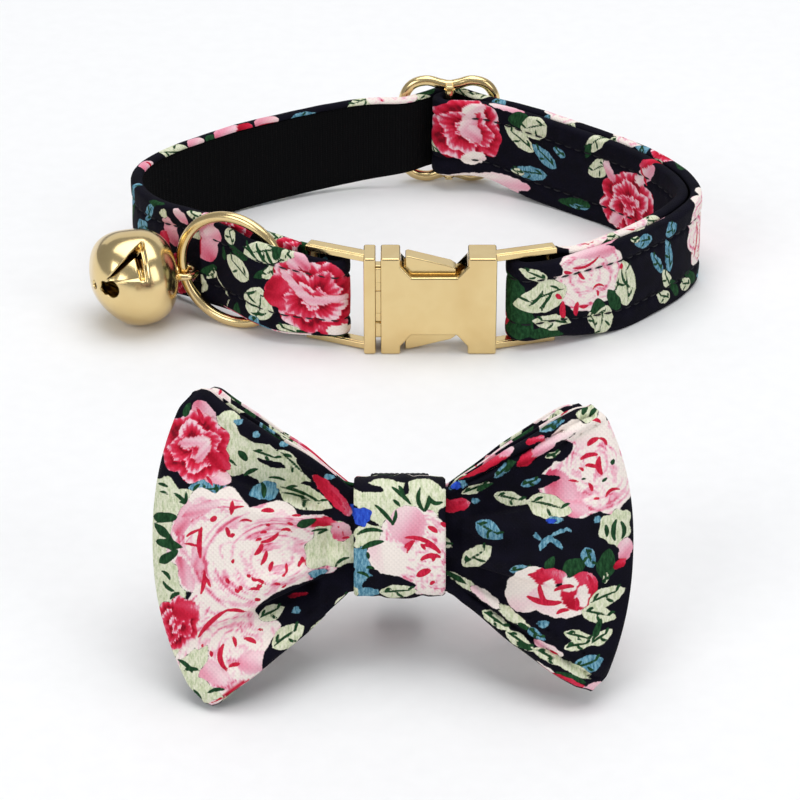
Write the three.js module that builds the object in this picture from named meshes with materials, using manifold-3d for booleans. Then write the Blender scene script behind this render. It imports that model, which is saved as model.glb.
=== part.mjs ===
// Pet bow tie collar: a printed cotton collar standing on its edge with its metal buckle fastened,
// and its detachable bow tie standing in front of it.
// Millimetres. +Z is up, the buckle faces -Y, +X is to the right seen from the buckle's side.
// The origin is under the middle of the whole, on the surface that both things stand on.

import * as THREE from 'three';
import { mergeVertices } from 'three/addons/utils/BufferGeometryUtils.js';
import Module from 'manifold-3d';

const wasm = await Module();
wasm.setup();

// ---- driving dimensions ----

const GAP = 0.3;                     // between pieces that touch on the real thing
const COVER = 1.0;                   // wall of the folded cotton cover
const WEBBING = 1.1;                 // ribbed webbing that lines it
const STRAP = COVER + GAP + WEBBING; // the whole strap's thickness
const COVER_LIP = 1.1;               // how far the cover turns in over the webbing's edges
const STRAP_STEP = 3.4;              // distance between two sections of the strap
const TAB = 1.5;                     // folded cloth tab that joins the strap to the left frame
const TAB_STEP = 2.0;

const BUCKLE = { height: 21.2, depth: 7.0, middleY: -35.3, edge: 0.5 };
const HOUSING = { left: -6.8, right: 16.3, cavityRight: 13.4, wall: 1.6, roof: 2.3 };
const CUT_OUT = { left: -2.9, right: 10.6, slope: 2.2, rim: 1.7, depth: 4.2 };
const CROSS_BAR = { left: -10.2, right: -7.8 };
const LEVER = {
  root: -8.6, shoulder: -1.9, tip: 8.2, armTop: 7.6, armBottom: 4.4, high: 10.2, low: 7.8, hook: 5.2,
  depth: 3.4,
};
const TONGUE = { tip: 12.4, height: 5.2, depth: 2.6 };
const FRAME = {
  reach: 12.2, barAt: 10.9, railDepth: 3.0, railHeight: 1.6, railInset: 0.1, barRadius: 1.25, sunk: 1,
};
const LEFT_FRAME_TURN = 24;          // degrees that the left frame leans back round the neck
const RIGHT_FRAME_TURN = 17;

const RING = { radius: 11.65, wire: 1.1, x: -36.8, y: -26.2, z: 12.75, turn: 24.5 };
const BELL = {
  radius: 9.7, half: 8.3, wall: 0.9, z: 9.75, turn: 14, slot: 1.3, slotEnd: 3.0, slotReach: 7.6,
  shoulder: 0.82,
};
const EYE = { radius: 2.35, wire: 0.75 };
const PELLET = 2.5;
const SLIDE = {
  x: 8, y: 46.4, z: 12.7, half: 9.9, hump: 11.5, waist: 10.4, wire: 1.15, barBack: 2.6, bar: 1.0, foot: 1.8,
  footHeight: 1.5,
};

const BOW = { x: -4.1, y: -145, lean: 24, wall: 1.0, columns: 44, rows: 8, fold: 0.62, knotEdge: 11.3 };
const KNOT = { x: 1.1, width: 15.2, height: 20.4, depth: 14.4, wall: 1.2, corner: 2.4 };
const ELASTIC = { width: 10, height: 20.8, depth: 8.2, wall: 1.0, corner: 1.6, drop: 1.0 };

// The strap's route in plan, as the middle of its thickness. It starts at the left frame, runs round the
// left bend and the back, through the slide, round the right bend, folds over the right frame's bar and
// returns inside itself to the slide's middle bar. lift is the height of its middle and half its half width.
const STRAP_ROUTE = [
  { x: -23.2, y: -29.6, lift: 11.2, half: 9.2 },
  { x: -30.0, y: -26.3, lift: 11.6, half: 9.8 },
  { x: -38.0, y: -21.3, lift: 11.8, half: 10 },
  { x: -46.0, y: -15.2, lift: 11.4, half: 10 },
  { x: -52.4, y: -9.0, lift: 10.4, half: 10 },
  { x: -56.8, y: -2.0, lift: 10, half: 10 },
  { x: -58.3, y: 5.0, lift: 10, half: 10 },
  { x: -56.9, y: 11.8, lift: 10, half: 10 },
  { x: -52.9, y: 18.0, lift: 10, half: 10 },
  { x: -46.6, y: 24.4, lift: 10, half: 10 },
  { x: -38.0, y: 30.9, lift: 10.2, half: 10 },
  { x: -25.0, y: 38.1, lift: 10.6, half: 10 },
  { x: -12.0, y: 42.4, lift: 11.6, half: 9.8 },
  { x: -1.8, y: 43.2, lift: 12.5, half: 9 },
  { x: 3.0, y: 46.4, lift: 12.7, half: 8.9 },
  { x: 8.0, y: 49.5, lift: 12.7, half: 9 },
  { x: 13.0, y: 46.4, lift: 12.7, half: 8.9 },
  { x: 17.8, y: 43.2, lift: 12.4, half: 9 },
  { x: 28.0, y: 38.0, lift: 10.6, half: 10 },
  { x: 37.0, y: 31.4, lift: 10, half: 10 },
  { x: 46.0, y: 23.2, lift: 10, half: 10 },
  { x: 53.2, y: 14.0, lift: 10, half: 10 },
  { x: 57.6, y: 4.6, lift: 10, half: 10 },
  { x: 58.5, y: -4.2, lift: 10, half: 10 },
  { x: 54.6, y: -12.6, lift: 10, half: 10 },
  { x: 48.4, y: -20.2, lift: 10, half: 10 },
  { x: 41.0, y: -27.4, lift: 10.1, half: 10 },
  { x: 33.4, y: -32.0, lift: 10.4, half: 9.2 },
  { x: 28.6, y: -34.3, lift: 10.6, half: 8.5 },
];
const RETURN_OFFSET = STRAP + 0.5;   // the return runs this far inside the strap's outer run
const RETURN_FROM = 27;              // rows of STRAP_ROUTE that the return follows back, from here
const RETURN_TO = 17;                // to here
const SLACK = 0.1;                   // extra room where cloth wraps a bar
const STRAP_FOLD = { inset: 4.6, half: 8.6, steps: 6 };
const STRAP_RETURN = { half: 8.8, afterBar: 0.8, beforeSlide: 3.6, wrapEnd: 95 };
const TAB_FOLD = { inset: 4.5, half: 8.5, steps: 6, rise: 0.3 };
const TAB_SEWN = [10.5, 7, 3, 0];    // places behind the strap's end, out from the left frame's bar

const SIDES = [-1, 1];
const rad = THREE.MathUtils.degToRad;

// ---- materials ----

const gold = new THREE.MeshStandardMaterial({ color: 0xdfc486, roughness: 0.18, metalness: 1 });
const print = new THREE.MeshStandardMaterial({ color: 0x8a3a50, roughness: 0.85, metalness: 0 });
const black = new THREE.MeshStandardMaterial({ color: 0x0b0b0c, roughness: 0.9, metalness: 0 });

// ---- solids and booleans ----

function toManifold(geometry) {
  const bare = geometry.clone();
  bare.deleteAttribute('normal');
  bare.deleteAttribute('uv');
  const merged = mergeVertices(bare, 1e-4);
  return new wasm.Manifold(new wasm.Mesh({
    numProp: 3,
    vertProperties: Float32Array.from(merged.attributes.position.array),
    triVerts: Uint32Array.from(merged.index.array),
  }));
}

function fromManifold(solid) {
  const mesh = solid.getMesh();
  const geometry = new THREE.BufferGeometry();
  geometry.setAttribute('position', new THREE.BufferAttribute(mesh.vertProperties, 3));
  geometry.setIndex(new THREE.BufferAttribute(mesh.triVerts, 1));
  return geometry;
}

function join(geometries) {
  return fromManifold(geometries.map(toManifold).reduce((whole, next) => whole.add(next)));
}

function cut(geometry, cutters) {
  const solid = toManifold(geometry);
  return fromManifold(cutters.map(toManifold).reduce((whole, next) => whole.subtract(next), solid));
}

function box(xRange, yRange, zRange) {
  const size = [xRange, yRange, zRange].map(([low, high]) => high - low);
  const middle = [xRange, yRange, zRange].map(([low, high]) => (low + high) / 2);
  return new THREE.BoxGeometry(...size).translate(...middle);
}

function named(name, geometry, material) {
  const mesh = new THREE.Mesh(geometry, material);
  mesh.name = name;
  return mesh;
}

// A body through a row of rings of points. Every ring has the same number of points, and a closed row
// joins its last ring to its first.
function loft(rings, closed) {
  const count = rings[0].length;
  const positions = rings.flat().flatMap((point) => [point.x, point.y, point.z]);
  const indices = [];
  const spans = closed ? rings.length : rings.length - 1;
  for (let i = 0; i < spans; i += 1) {
    const here = i * count;
    const next = ((i + 1) % rings.length) * count;
    for (let j = 0; j < count; j += 1) {
      const k = (j + 1) % count;
      indices.push(here + j, here + k, next + k);
      indices.push(here + j, next + k, next + j);
    }
  }
  if (!closed) {
    indices.push(...capFaces(rings[0], 0, true));
    indices.push(...capFaces(rings[rings.length - 1], (rings.length - 1) * count, false));
  }
  const geometry = new THREE.BufferGeometry();
  geometry.setAttribute('position', new THREE.Float32BufferAttribute(positions, 3));
  geometry.setIndex(indices);
  return outward(geometry);
}

function capFaces(ring, first, reversed) {
  const origin = ring[0];
  const along = ring[1].clone().sub(origin).normalize();
  const normal = new THREE.Vector3();
  for (let j = 0; j < ring.length; j += 1) {
    const a = ring[j].clone().sub(origin);
    const b = ring[(j + 1) % ring.length].clone().sub(origin);
    normal.add(a.cross(b));
  }
  const across = normal.normalize().cross(along);
  const flat = ring.map((point) => {
    const offset = point.clone().sub(origin);
    return new THREE.Vector2(offset.dot(along), offset.dot(across));
  });
  const faces = THREE.ShapeUtils.triangulateShape(flat, []);
  return faces.flatMap(([a, b, c]) => (reversed ? [a, c, b] : [a, b, c])).map((corner) => first + corner);
}

// Turns every face round where the body's volume comes out negative.
function outward(geometry) {
  const position = geometry.attributes.position;
  const index = geometry.index.array;
  const corners = [new THREE.Vector3(), new THREE.Vector3(), new THREE.Vector3()];
  let volume = 0;
  for (let i = 0; i < index.length; i += 3) {
    corners.forEach((corner, k) => corner.fromBufferAttribute(position, index[i + k]));
    volume += corners[0].dot(corners[1].clone().cross(corners[2]));
  }
  if (volume < 0) {
    for (let i = 0; i < index.length; i += 3) {
      [index[i], index[i + 1]] = [index[i + 1], index[i]];
    }
  }
  return geometry;
}

function tube(points, radius, sides, closed) {
  const curve = new THREE.CatmullRomCurve3(points, closed, 'centripetal');
  const steps = points.length * 3;
  const frames = curve.computeFrenetFrames(steps, closed);
  const rings = [];
  for (let i = 0; i < steps + (closed ? 0 : 1); i += 1) {
    const centre = curve.getPointAt(i / steps);
    const ring = [];
    for (let j = 0; j < sides; j += 1) {
      const angle = (j / sides) * 2 * Math.PI;
      const spoke = frames.normals[i].clone().multiplyScalar(Math.cos(angle) * radius);
      spoke.addScaledVector(frames.binormals[i], Math.sin(angle) * radius);
      ring.push(spoke.add(centre));
    }
    rings.push(ring);
  }
  return loft(rings, closed);
}

// ---- strap ----

// The places along a route where a section stands: its point, the way its outer face looks, its height
// and its half width. The route's x and y are in plan, its z is the lift, and half rides in a second curve.
function stations(route, step) {
  const through = (height) => new THREE.CatmullRomCurve3(
    route.map((row) => new THREE.Vector3(row.x, row.y, height(row))), false, 'centripetal',
  );
  const curve = through((row) => row.lift);
  const widths = through((row) => row.half);
  const rows = [];
  for (let i = 0; i < route.length - 1; i += 1) {
    const distance = Math.hypot(route[i + 1].x - route[i].x, route[i + 1].y - route[i].y);
    const parts = Math.max(1, Math.round(distance / step));
    for (let part = 0; part < parts; part += 1) {
      rows.push((i + part / parts) / (route.length - 1));
    }
  }
  rows.push(1);
  return rows.map((t) => {
    const point = curve.getPoint(t);
    const tangent = curve.getTangent(t);
    const outer = new THREE.Vector3(-tangent.y, tangent.x, 0).normalize();
    return { point, outer, half: widths.getPoint(t).z };
  });
}

function band(route, step, section) {
  const rings = stations(route, step).map(({ point, outer, half }) => section(half).map(([across, up]) => {
    const lifted = new THREE.Vector3(point.x, point.y, point.z + up);
    return lifted.addScaledVector(outer, across);
  }));
  return loft(rings, false);
}

function arcPoints(centre, radius, fromAngle, toAngle, count, lift, half) {
  const rows = [];
  for (let i = 0; i <= count; i += 1) {
    const angle = rad(fromAngle + (toAngle - fromAngle) * (i / count));
    rows.push({ x: centre.x + radius * Math.cos(angle), y: centre.y + radius * Math.sin(angle), lift, half });
  }
  return rows;
}

// The rows that lie a set distance inside the route, walked backwards.
function returnRows() {
  const rows = [];
  for (let i = RETURN_FROM; i >= RETURN_TO; i -= 1) {
    const before = STRAP_ROUTE[i - 1];
    const after = STRAP_ROUTE[i + 1];
    const length = Math.hypot(after.x - before.x, after.y - before.y);
    const inX = (after.y - before.y) / length;
    const inY = -(after.x - before.x) / length;
    const row = STRAP_ROUTE[i];
    rows.push({ ...row, x: row.x + inX * RETURN_OFFSET, y: row.y + inY * RETURN_OFFSET });
  }
  return rows;
}

// Where a frame's bar stands: from the middle of the buckle's end, along the frame.
function frameBar(side) {
  const turn = rad(side < 0 ? LEFT_FRAME_TURN : RIGHT_FRAME_TURN);
  const startX = side < 0 ? CROSS_BAR.left : HOUSING.right;
  const along = new THREE.Vector2(side * Math.cos(turn), Math.sin(turn));
  return {
    along,
    front: new THREE.Vector2(side * Math.sin(turn), -Math.cos(turn)),
    start: new THREE.Vector2(startX, BUCKLE.middleY),
    bar: new THREE.Vector2(startX, BUCKLE.middleY).addScaledVector(along, FRAME.barAt),
  };
}

function strapRoute() {
  const { bar, along, front } = frameBar(1);
  const lift = BUCKLE.height / 2;
  const half = STRAP_RETURN.half;
  const turn = RIGHT_FRAME_TURN;
  const steps = STRAP_FOLD.steps;
  const foldRadius = FRAME.barRadius + GAP + STRAP / 2 + SLACK;
  const fold = bar.clone().addScaledVector(along, -STRAP_FOLD.inset);
  const foldRows = arcPoints(fold, foldRadius, turn - 90, turn - 270, steps, lift, STRAP_FOLD.half);
  const behindBar = bar.clone().addScaledVector(front, -foldRadius);
  const middleBar = { x: SLIDE.x, y: SLIDE.y - SLIDE.barBack };
  const wrapRadius = SLIDE.bar + GAP + STRAP / 2 + SLACK;
  const wrapRows = arcPoints(middleBar, wrapRadius, 270, STRAP_RETURN.wrapEnd, steps, SLIDE.z, half);
  return [
    ...STRAP_ROUTE,
    ...foldRows,
    { x: behindBar.x + STRAP_RETURN.afterBar, y: behindBar.y, lift, half },
    ...returnRows(),
    { x: SLIDE.x + STRAP_RETURN.beforeSlide, y: middleBar.y - wrapRadius, lift: SLIDE.z, half },
    ...wrapRows,
  ];
}

function coverSection(half) {
  const outside = STRAP / 2;
  const wall = outside - COVER;
  const lip = half - COVER_LIP;
  return [
    [outside, -half], [outside, half], [-outside, half], [-outside, lip],
    [wall, lip], [wall, -lip], [-outside, -lip], [-outside, -half],
  ];
}

function webbingSection(half) {
  const inside = -STRAP / 2;
  const wall = inside + WEBBING;
  const height = half - COVER_LIP - GAP;
  return [[wall, -height], [wall, height], [inside, height], [inside, -height]];
}

function makeStrap() {
  const route = strapRoute();
  return [
    named('strap_cover', band(route, STRAP_STEP, coverSection), print),
    named('strap_webbing', band(route, STRAP_STEP, webbingSection), black),
  ];
}

// ---- keeper tab ----

// A point beside the leash ring in plan: along its turned width, and in front of its plane.
function besideRing(along, front) {
  const turn = rad(RING.turn);
  return {
    x: RING.x + along * Math.cos(turn) - front * Math.sin(turn),
    y: RING.y - along * Math.sin(turn) - front * Math.cos(turn),
  };
}

// The tab is sewn behind the strap's end, folds over the left frame's bar, comes back in front of the
// ring's right side, passes through the ring and ends behind its left side.
function tabRoute() {
  const { bar, along, front } = frameBar(-1);
  const { half, rise, steps } = TAB_FOLD;
  const lift = BUCKLE.height / 2;
  const spacing = STRAP / 2 + GAP + TAB / 2 + SLACK;
  const fold = bar.clone().addScaledVector(along, -TAB_FOLD.inset);
  const turn = LEFT_FRAME_TURN;
  const sewn = TAB_SEWN.map((distance, i) => {
    const point = bar.clone().addScaledVector(along, distance).addScaledVector(front, -spacing);
    return { x: point.x, y: point.y, lift: lift + (TAB_SEWN.length - 1 - i) * rise, half };
  });
  const clear = RING.wire + GAP + TAB / 2;
  const throughRing = [
    { along: 12.4, front: clear + 0.1, lift: 11.6, half: 9.4 },
    { along: 9.0, front: clear + 0.35, lift: 12, half: 9.4 },
    { along: 5.2, front: clear + 0.1, lift: 12.5, half: 9.2 },
    { along: 0, front: 0, lift: 12.7, half: 9.1 },
    { along: -5.2, front: -clear - 0.1, lift: 12.5, half: 9.2 },
    { along: -8.2, front: -clear - 0.05, lift: 12.2, half: 9.6 },
  ];
  return [
    ...sewn,
    ...arcPoints(fold, spacing, 90 - turn, -90 - turn, steps, lift, half),
    ...throughRing.map((row) => ({ ...row, ...besideRing(row.along, row.front) })),
  ];
}

function makeTab() {
  const section = (half) => [[TAB / 2, -half], [TAB / 2, half], [-TAB / 2, half], [-TAB / 2, -half]];
  return named('keeper_tab', band(tabRoute(), TAB_STEP, section), print);
}

// ---- buckle ----

// The upper half's points from left to right, then the lower half's mirror image.
function mirroredOutline(upper) {
  const lower = upper.map(([x, z]) => [x, -z]).reverse();
  return new THREE.Shape([...upper, ...lower].map(([x, z]) => new THREE.Vector2(x, z)));
}

// A shape drawn in X and Z, given its depth along Y round the buckle's middle.
function plate(shape, depth, bevel) {
  const geometry = new THREE.ExtrudeGeometry(shape, {
    depth: depth - 2 * bevel, bevelEnabled: bevel > 0, bevelThickness: bevel, bevelSize: bevel,
    bevelOffset: -bevel, bevelSegments: 1, steps: 1, curveSegments: 6,
  });
  geometry.translate(0, 0, -(depth - 2 * bevel) / 2).rotateX(Math.PI / 2);
  return geometry.translate(0, BUCKLE.middleY, BUCKLE.height / 2);
}

function ladder(side) {
  const { along, start, bar } = frameBar(side);
  const angle = Math.atan2(along.y, along.x);
  const parts = SIDES.map((end) => {
    const rail = new THREE.BoxGeometry(FRAME.reach + FRAME.sunk, FRAME.railDepth, FRAME.railHeight);
    rail.translate((FRAME.reach - FRAME.sunk) / 2, 0, 0).rotateZ(angle);
    const height = (BUCKLE.height + end * (BUCKLE.height - FRAME.railHeight)) / 2 - end * FRAME.railInset;
    return rail.translate(start.x, start.y, height);
  });
  const postHeight = BUCKLE.height - FRAME.railHeight;
  const post = new THREE.CylinderGeometry(FRAME.barRadius, FRAME.barRadius, postHeight, 12);
  parts.push(post.rotateX(Math.PI / 2).translate(bar.x, bar.y, BUCKLE.height / 2));
  return parts;
}

function makeHousing() {
  const top = BUCKLE.height / 2;
  const floor = top - CUT_OUT.depth;
  const outline = mirroredOutline([
    [HOUSING.left, top], [CUT_OUT.left, top], [CUT_OUT.left, top - CUT_OUT.rim],
    [CUT_OUT.left + CUT_OUT.slope, floor], [CUT_OUT.right - CUT_OUT.slope, floor],
    [CUT_OUT.right, top - CUT_OUT.rim], [CUT_OUT.right, top], [HOUSING.right, top],
  ]);
  const body = plate(outline, BUCKLE.depth, BUCKLE.edge);
  const reach = BUCKLE.depth / 2 - HOUSING.wall;
  const cavity = box(
    [HOUSING.left - 1, HOUSING.cavityRight],
    [BUCKLE.middleY - reach, BUCKLE.middleY + reach],
    [HOUSING.roof, BUCKLE.height - HOUSING.roof],
  );
  return named('buckle_housing', join([cut(body, [cavity]), ...ladder(1)]), gold);
}

function lever(end) {
  const points = [
    [LEVER.root, LEVER.armBottom], [LEVER.root, LEVER.armTop], [LEVER.shoulder, LEVER.armTop],
    [LEVER.shoulder, LEVER.high], [LEVER.tip, LEVER.low], [LEVER.tip, LEVER.hook],
  ];
  return plate(new THREE.Shape(points.map(([x, z]) => new THREE.Vector2(x, end * z))), LEVER.depth, 0);
}

function makeInsert() {
  const top = BUCKLE.height / 2;
  const bar = mirroredOutline([[CROSS_BAR.left, top], [CROSS_BAR.right, top]]);
  const tongue = mirroredOutline([[LEVER.root, TONGUE.height / 2], [TONGUE.tip, TONGUE.height / 2]]);
  return named('buckle_insert', join([
    plate(bar, BUCKLE.depth, BUCKLE.edge),
    plate(tongue, TONGUE.depth, 0),
    ...SIDES.map(lever),
    ...ladder(-1),
  ]), gold);
}

// ---- ring, bell and slide ----

function makeRing() {
  const torus = new THREE.TorusGeometry(RING.radius, RING.wire, 10, 40).rotateX(Math.PI / 2);
  const mesh = named('leash_ring', torus, gold);
  mesh.position.set(RING.x, RING.y, RING.z);
  mesh.rotation.z = -rad(RING.turn);
  return mesh;
}

// Where the bell's eye holds the ring's wire, and the bell's own middle.
function bellPlace() {
  const drop = RING.z - BELL.z;
  const reach = Math.sqrt(RING.radius ** 2 - drop ** 2);
  const eye = besideRing(-reach, 0);
  const turn = rad(BELL.turn);
  const arm = BELL.half + EYE.radius - EYE.wire;
  return { eye, x: eye.x - arm * Math.cos(turn), y: eye.y - arm * Math.sin(turn) };
}

// The shell's meridian: rounded shoulders, a flatter middle and a small hole in the outer end.
function bellProfile() {
  const ring = (offset) => {
    const points = [];
    for (let i = 0; i <= 10; i += 1) {
      const angle = rad(90 - 180 * (i / 10));
      const along = Math.sin(angle);
      const round = Math.abs(Math.cos(angle)) ** BELL.shoulder;
      const radius = Math.max(round * (BELL.radius - offset), 0.001);
      points.push(new THREE.Vector2(radius, along * (BELL.half - offset)));
    }
    return points;
  };
  const outer = ring(0);
  const inner = ring(BELL.wall).reverse();
  outer[0].x = 0;
  inner[inner.length - 1].x = 0;
  outer[outer.length - 1].set(BELL.slotEnd / 2, -BELL.half);
  inner[0].set(BELL.slotEnd / 2, BELL.wall - BELL.half);
  return [...outer, ...inner].reverse();
}

// Two crossed slots run from the hole in the outer end and finish in round holes.
function bellCutters() {
  const length = BELL.radius * 2 + 4;
  const outside = -BELL.half - 1;
  const inside = BELL.slotReach - BELL.half;
  return SIDES.flatMap((side) => {
    const turn = rad(45 * side);
    const slot = box([-BELL.slot / 2, BELL.slot / 2], [outside, inside], [-length / 2, length / 2]);
    const hole = new THREE.CylinderGeometry(BELL.slotEnd / 2, BELL.slotEnd / 2, length, 10);
    hole.rotateX(Math.PI / 2).translate(0, inside, 0);
    return [slot.rotateY(turn), hole.rotateY(turn)];
  });
}

function makeBell() {
  const place = bellPlace();
  const shell = cut(new THREE.LatheGeometry(bellProfile(), 20), bellCutters());
  shell.rotateZ(-Math.PI / 2);
  const eye = new THREE.TorusGeometry(EYE.radius, EYE.wire, 8, 18);
  eye.translate(BELL.half + EYE.radius - EYE.wire, 0, 0);
  const mesh = named('bell', join([shell, eye]), gold);
  mesh.position.set(place.x, place.y, BELL.z);
  mesh.rotation.z = rad(BELL.turn);
  const pellet = named('bell_pellet', new THREE.SphereGeometry(PELLET, 12, 8), gold);
  pellet.position.set(place.x, place.y, BELL.z - BELL.radius + BELL.wall + PELLET + GAP);
  return [mesh, pellet];
}

// One wire bent into two lobes above and below, with a middle bar set in towards the neck.
function makeSlide() {
  const quarter = [
    [SLIDE.half, 3.5],
    [SLIDE.half, 8],
    [SLIDE.half * 0.82, SLIDE.hump - 0.9],
    [SLIDE.half * 0.5, SLIDE.hump],
    [SLIDE.half * 0.2, SLIDE.waist + 0.35],
  ];
  const top = [...quarter, [0, SLIDE.waist], ...quarter.map(([x, z]) => [-x, z]).reverse()];
  const outline = [...top, ...top.map(([x, z]) => [-x, -z])];
  const frame = tube(outline.map(([x, z]) => new THREE.Vector3(x, 0, z)), SLIDE.wire, 8, true);
  const bar = new THREE.CylinderGeometry(SLIDE.bar, SLIDE.bar, SLIDE.waist * 2, 10);
  bar.rotateX(Math.PI / 2).translate(0, -SLIDE.barBack, 0);
  const feet = SIDES.map((end) => {
    const foot = new THREE.BoxGeometry(SLIDE.foot, SLIDE.barBack + 1, SLIDE.footHeight);
    return foot.translate(0, -SLIDE.barBack / 2, end * SLIDE.waist);
  });
  const mesh = named('slide', join([frame, bar, ...feet]), gold);
  mesh.position.set(SLIDE.x, SLIDE.y, SLIDE.z);
  return mesh;
}

// ---- bow tie ----

// Each bow is one flattened loop of cloth, open above and below, folded at its two outer ends and pinched
// at its middle. puff and slack are how far its front and its back sheet stand off its middle surface,
// level and spread carry the whole loop forward or back at the knot and further out.
const BOW_LAYERS = [
  {
    name: 'bow_front', reach: 39.3, high: 25.4, low: 27.0, root: 7.9, puff: 7.2, slack: 2.4, level: -2.75,
    spread: -3.6, flare: -3.6,
  },
  {
    name: 'bow_back', reach: 38.0, high: 24.7, low: 17.6, root: 8.2, puff: 2.4, slack: 5.0, level: 2.75,
    spread: 3.6, flare: 4.4,
  },
];
const PLEAT = { depth: 0.55, crease: 2.3 };
const CORNER_DRAW = 5.6;             // how much nearer the middle a corner stands than the end's middle
const PINCH = 1.15;                  // half the distance between the two sheets inside the knot

// A point of a bow's middle surface. angle runs round the loop in plan, from the left end's fold along the
// front sheet to the right end and back, and v runs from the lower edge at -1 to the upper edge at 1.
function bowPoint(layer, angle, v) {
  const lateral = -Math.cos(angle);
  const reach = layer.reach - CORNER_DRAW * Math.abs(v) ** 2.2;
  const x = Math.sign(lateral) * Math.abs(lateral) ** BOW.fold * reach;
  const out = Math.max(0, (Math.abs(x) - BOW.knotEdge) / (reach - BOW.knotEdge));
  const end = v < 0 ? layer.low : layer.high;
  const rise = layer.root + (end - layer.root) * out ** 0.92;
  const belly = (1 - 0.45 * v * v) * Math.sin(Math.PI * out * 0.86) ** 0.8;
  const crease = PLEAT.crease * Math.cos(2 * Math.PI * v) * out * (1 - out);
  const frontSheet = Math.sin(angle) > 0;
  const depth = PINCH + (frontSheet ? layer.puff * belly + crease : layer.slack * belly);
  const pleat = PLEAT.depth * Math.cos(3 * Math.PI * v) * (1 - out) ** 1.5;
  const flare = v < 0 ? layer.flare * v * v * out ** 1.5 : 0;
  const sheet = Math.sign(Math.sin(angle)) * Math.abs(Math.sin(angle)) ** 0.7;
  const middle = layer.level + layer.spread * out ** 0.7;
  return new THREE.Vector3(x, middle - sheet * depth + pleat + flare, v * rise);
}

function bowLoop(layer) {
  const rings = [];
  const nudge = 1e-3;
  for (let i = 0; i < BOW.columns; i += 1) {
    const angle = ((i + 0.5) / BOW.columns) * 2 * Math.PI;
    const sides = { outer: [], inner: [] };
    for (let j = 0; j <= BOW.rows; j += 1) {
      const v = (j / BOW.rows) * 2 - 1;
      const point = bowPoint(layer, angle, v);
      const ahead = bowPoint(layer, angle + nudge, v).sub(bowPoint(layer, angle - nudge, v));
      const outer = new THREE.Vector3(ahead.y, -ahead.x, 0).normalize().multiplyScalar(BOW.wall / 2);
      sides.outer.push(point.clone().add(outer));
      sides.inner.push(point.clone().sub(outer));
    }
    rings.push([...sides.outer, ...sides.inner.reverse()]);
  }
  return named(layer.name, loft(rings, true), print);
}

// A band wrapped round in Y and Z, with rounded corners, as wide as it is along X.
function wrap({ depth, height, wall, corner, width }) {
  const rounded = (shape, halfY, halfZ, radius) => {
    shape.moveTo(-halfY + radius, -halfZ);
    shape.lineTo(halfY - radius, -halfZ);
    shape.absarc(halfY - radius, -halfZ + radius, radius, -Math.PI / 2, 0, false);
    shape.absarc(halfY - radius, halfZ - radius, radius, 0, Math.PI / 2, false);
    shape.absarc(-halfY + radius, halfZ - radius, radius, Math.PI / 2, Math.PI, false);
    shape.absarc(-halfY + radius, -halfZ + radius, radius, Math.PI, 1.5 * Math.PI, false);
    return shape;
  };
  const shape = rounded(new THREE.Shape(), depth / 2, height / 2, corner);
  shape.holes.push(rounded(new THREE.Path(), depth / 2 - wall, height / 2 - wall, corner - wall + 0.2));
  const options = { depth: width, bevelEnabled: false, curveSegments: 5, steps: 1 };
  const geometry = new THREE.ExtrudeGeometry(shape, options);
  return geometry.translate(0, 0, -width / 2).rotateX(Math.PI / 2).rotateZ(Math.PI / 2);
}

function makeBow() {
  const group = new THREE.Group();
  BOW_LAYERS.forEach((layer) => group.add(bowLoop(layer)));
  const knot = named('bow_knot', wrap(KNOT), print);
  knot.position.x = KNOT.x;
  const loop = named('bow_loop', wrap(ELASTIC), black);
  loop.position.set(KNOT.x, KNOT.depth / 2 + GAP + ELASTIC.depth / 2, -ELASTIC.drop);
  group.add(knot, loop);
  group.rotation.x = -rad(BOW.lean);
  group.position.set(BOW.x, BOW.y, 0);
  group.position.z = -new THREE.Box3().setFromObject(group, true).min.z;
  return group;
}

// ---- the whole ----

const collar = new THREE.Group();
collar.add(...makeStrap(), makeTab(), makeHousing(), makeInsert(), makeRing(), ...makeBell(), makeSlide());

const object = new THREE.Group();
object.add(collar, makeBow());
const bounds = new THREE.Box3().setFromObject(object, true);
object.position.set(-(bounds.min.x + bounds.max.x) / 2, -(bounds.min.y + bounds.max.y) / 2, -bounds.min.z);

export default object;
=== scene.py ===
"""A pet's bow tie collar: a printed cotton collar with its metal buckle, and its bow tie in front.

Sizes are in millimetres in the collar's own frame, which to_row() turns into the row frame in metres.
The CAD gives every place; this file adds the cloth's folds, stitching and print and the metal's finish.
"""
import math
import random

import bmesh
import bpy
import numpy as np
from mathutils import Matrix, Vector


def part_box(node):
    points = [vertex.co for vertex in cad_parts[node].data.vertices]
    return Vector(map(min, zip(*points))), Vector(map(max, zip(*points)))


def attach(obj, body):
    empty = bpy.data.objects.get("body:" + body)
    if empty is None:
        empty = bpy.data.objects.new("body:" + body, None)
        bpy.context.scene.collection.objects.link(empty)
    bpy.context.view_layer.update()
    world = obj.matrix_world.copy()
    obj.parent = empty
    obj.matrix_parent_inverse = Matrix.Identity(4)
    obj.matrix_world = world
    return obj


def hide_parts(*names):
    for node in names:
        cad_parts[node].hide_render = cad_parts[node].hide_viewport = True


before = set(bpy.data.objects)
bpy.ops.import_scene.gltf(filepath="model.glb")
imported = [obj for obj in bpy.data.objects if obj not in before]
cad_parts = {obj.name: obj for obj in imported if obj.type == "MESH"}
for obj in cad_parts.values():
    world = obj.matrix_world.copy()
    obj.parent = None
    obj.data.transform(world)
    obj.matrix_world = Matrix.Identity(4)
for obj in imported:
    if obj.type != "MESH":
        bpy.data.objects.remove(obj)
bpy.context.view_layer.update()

# ---- sizes shared with the CAD ----

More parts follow.
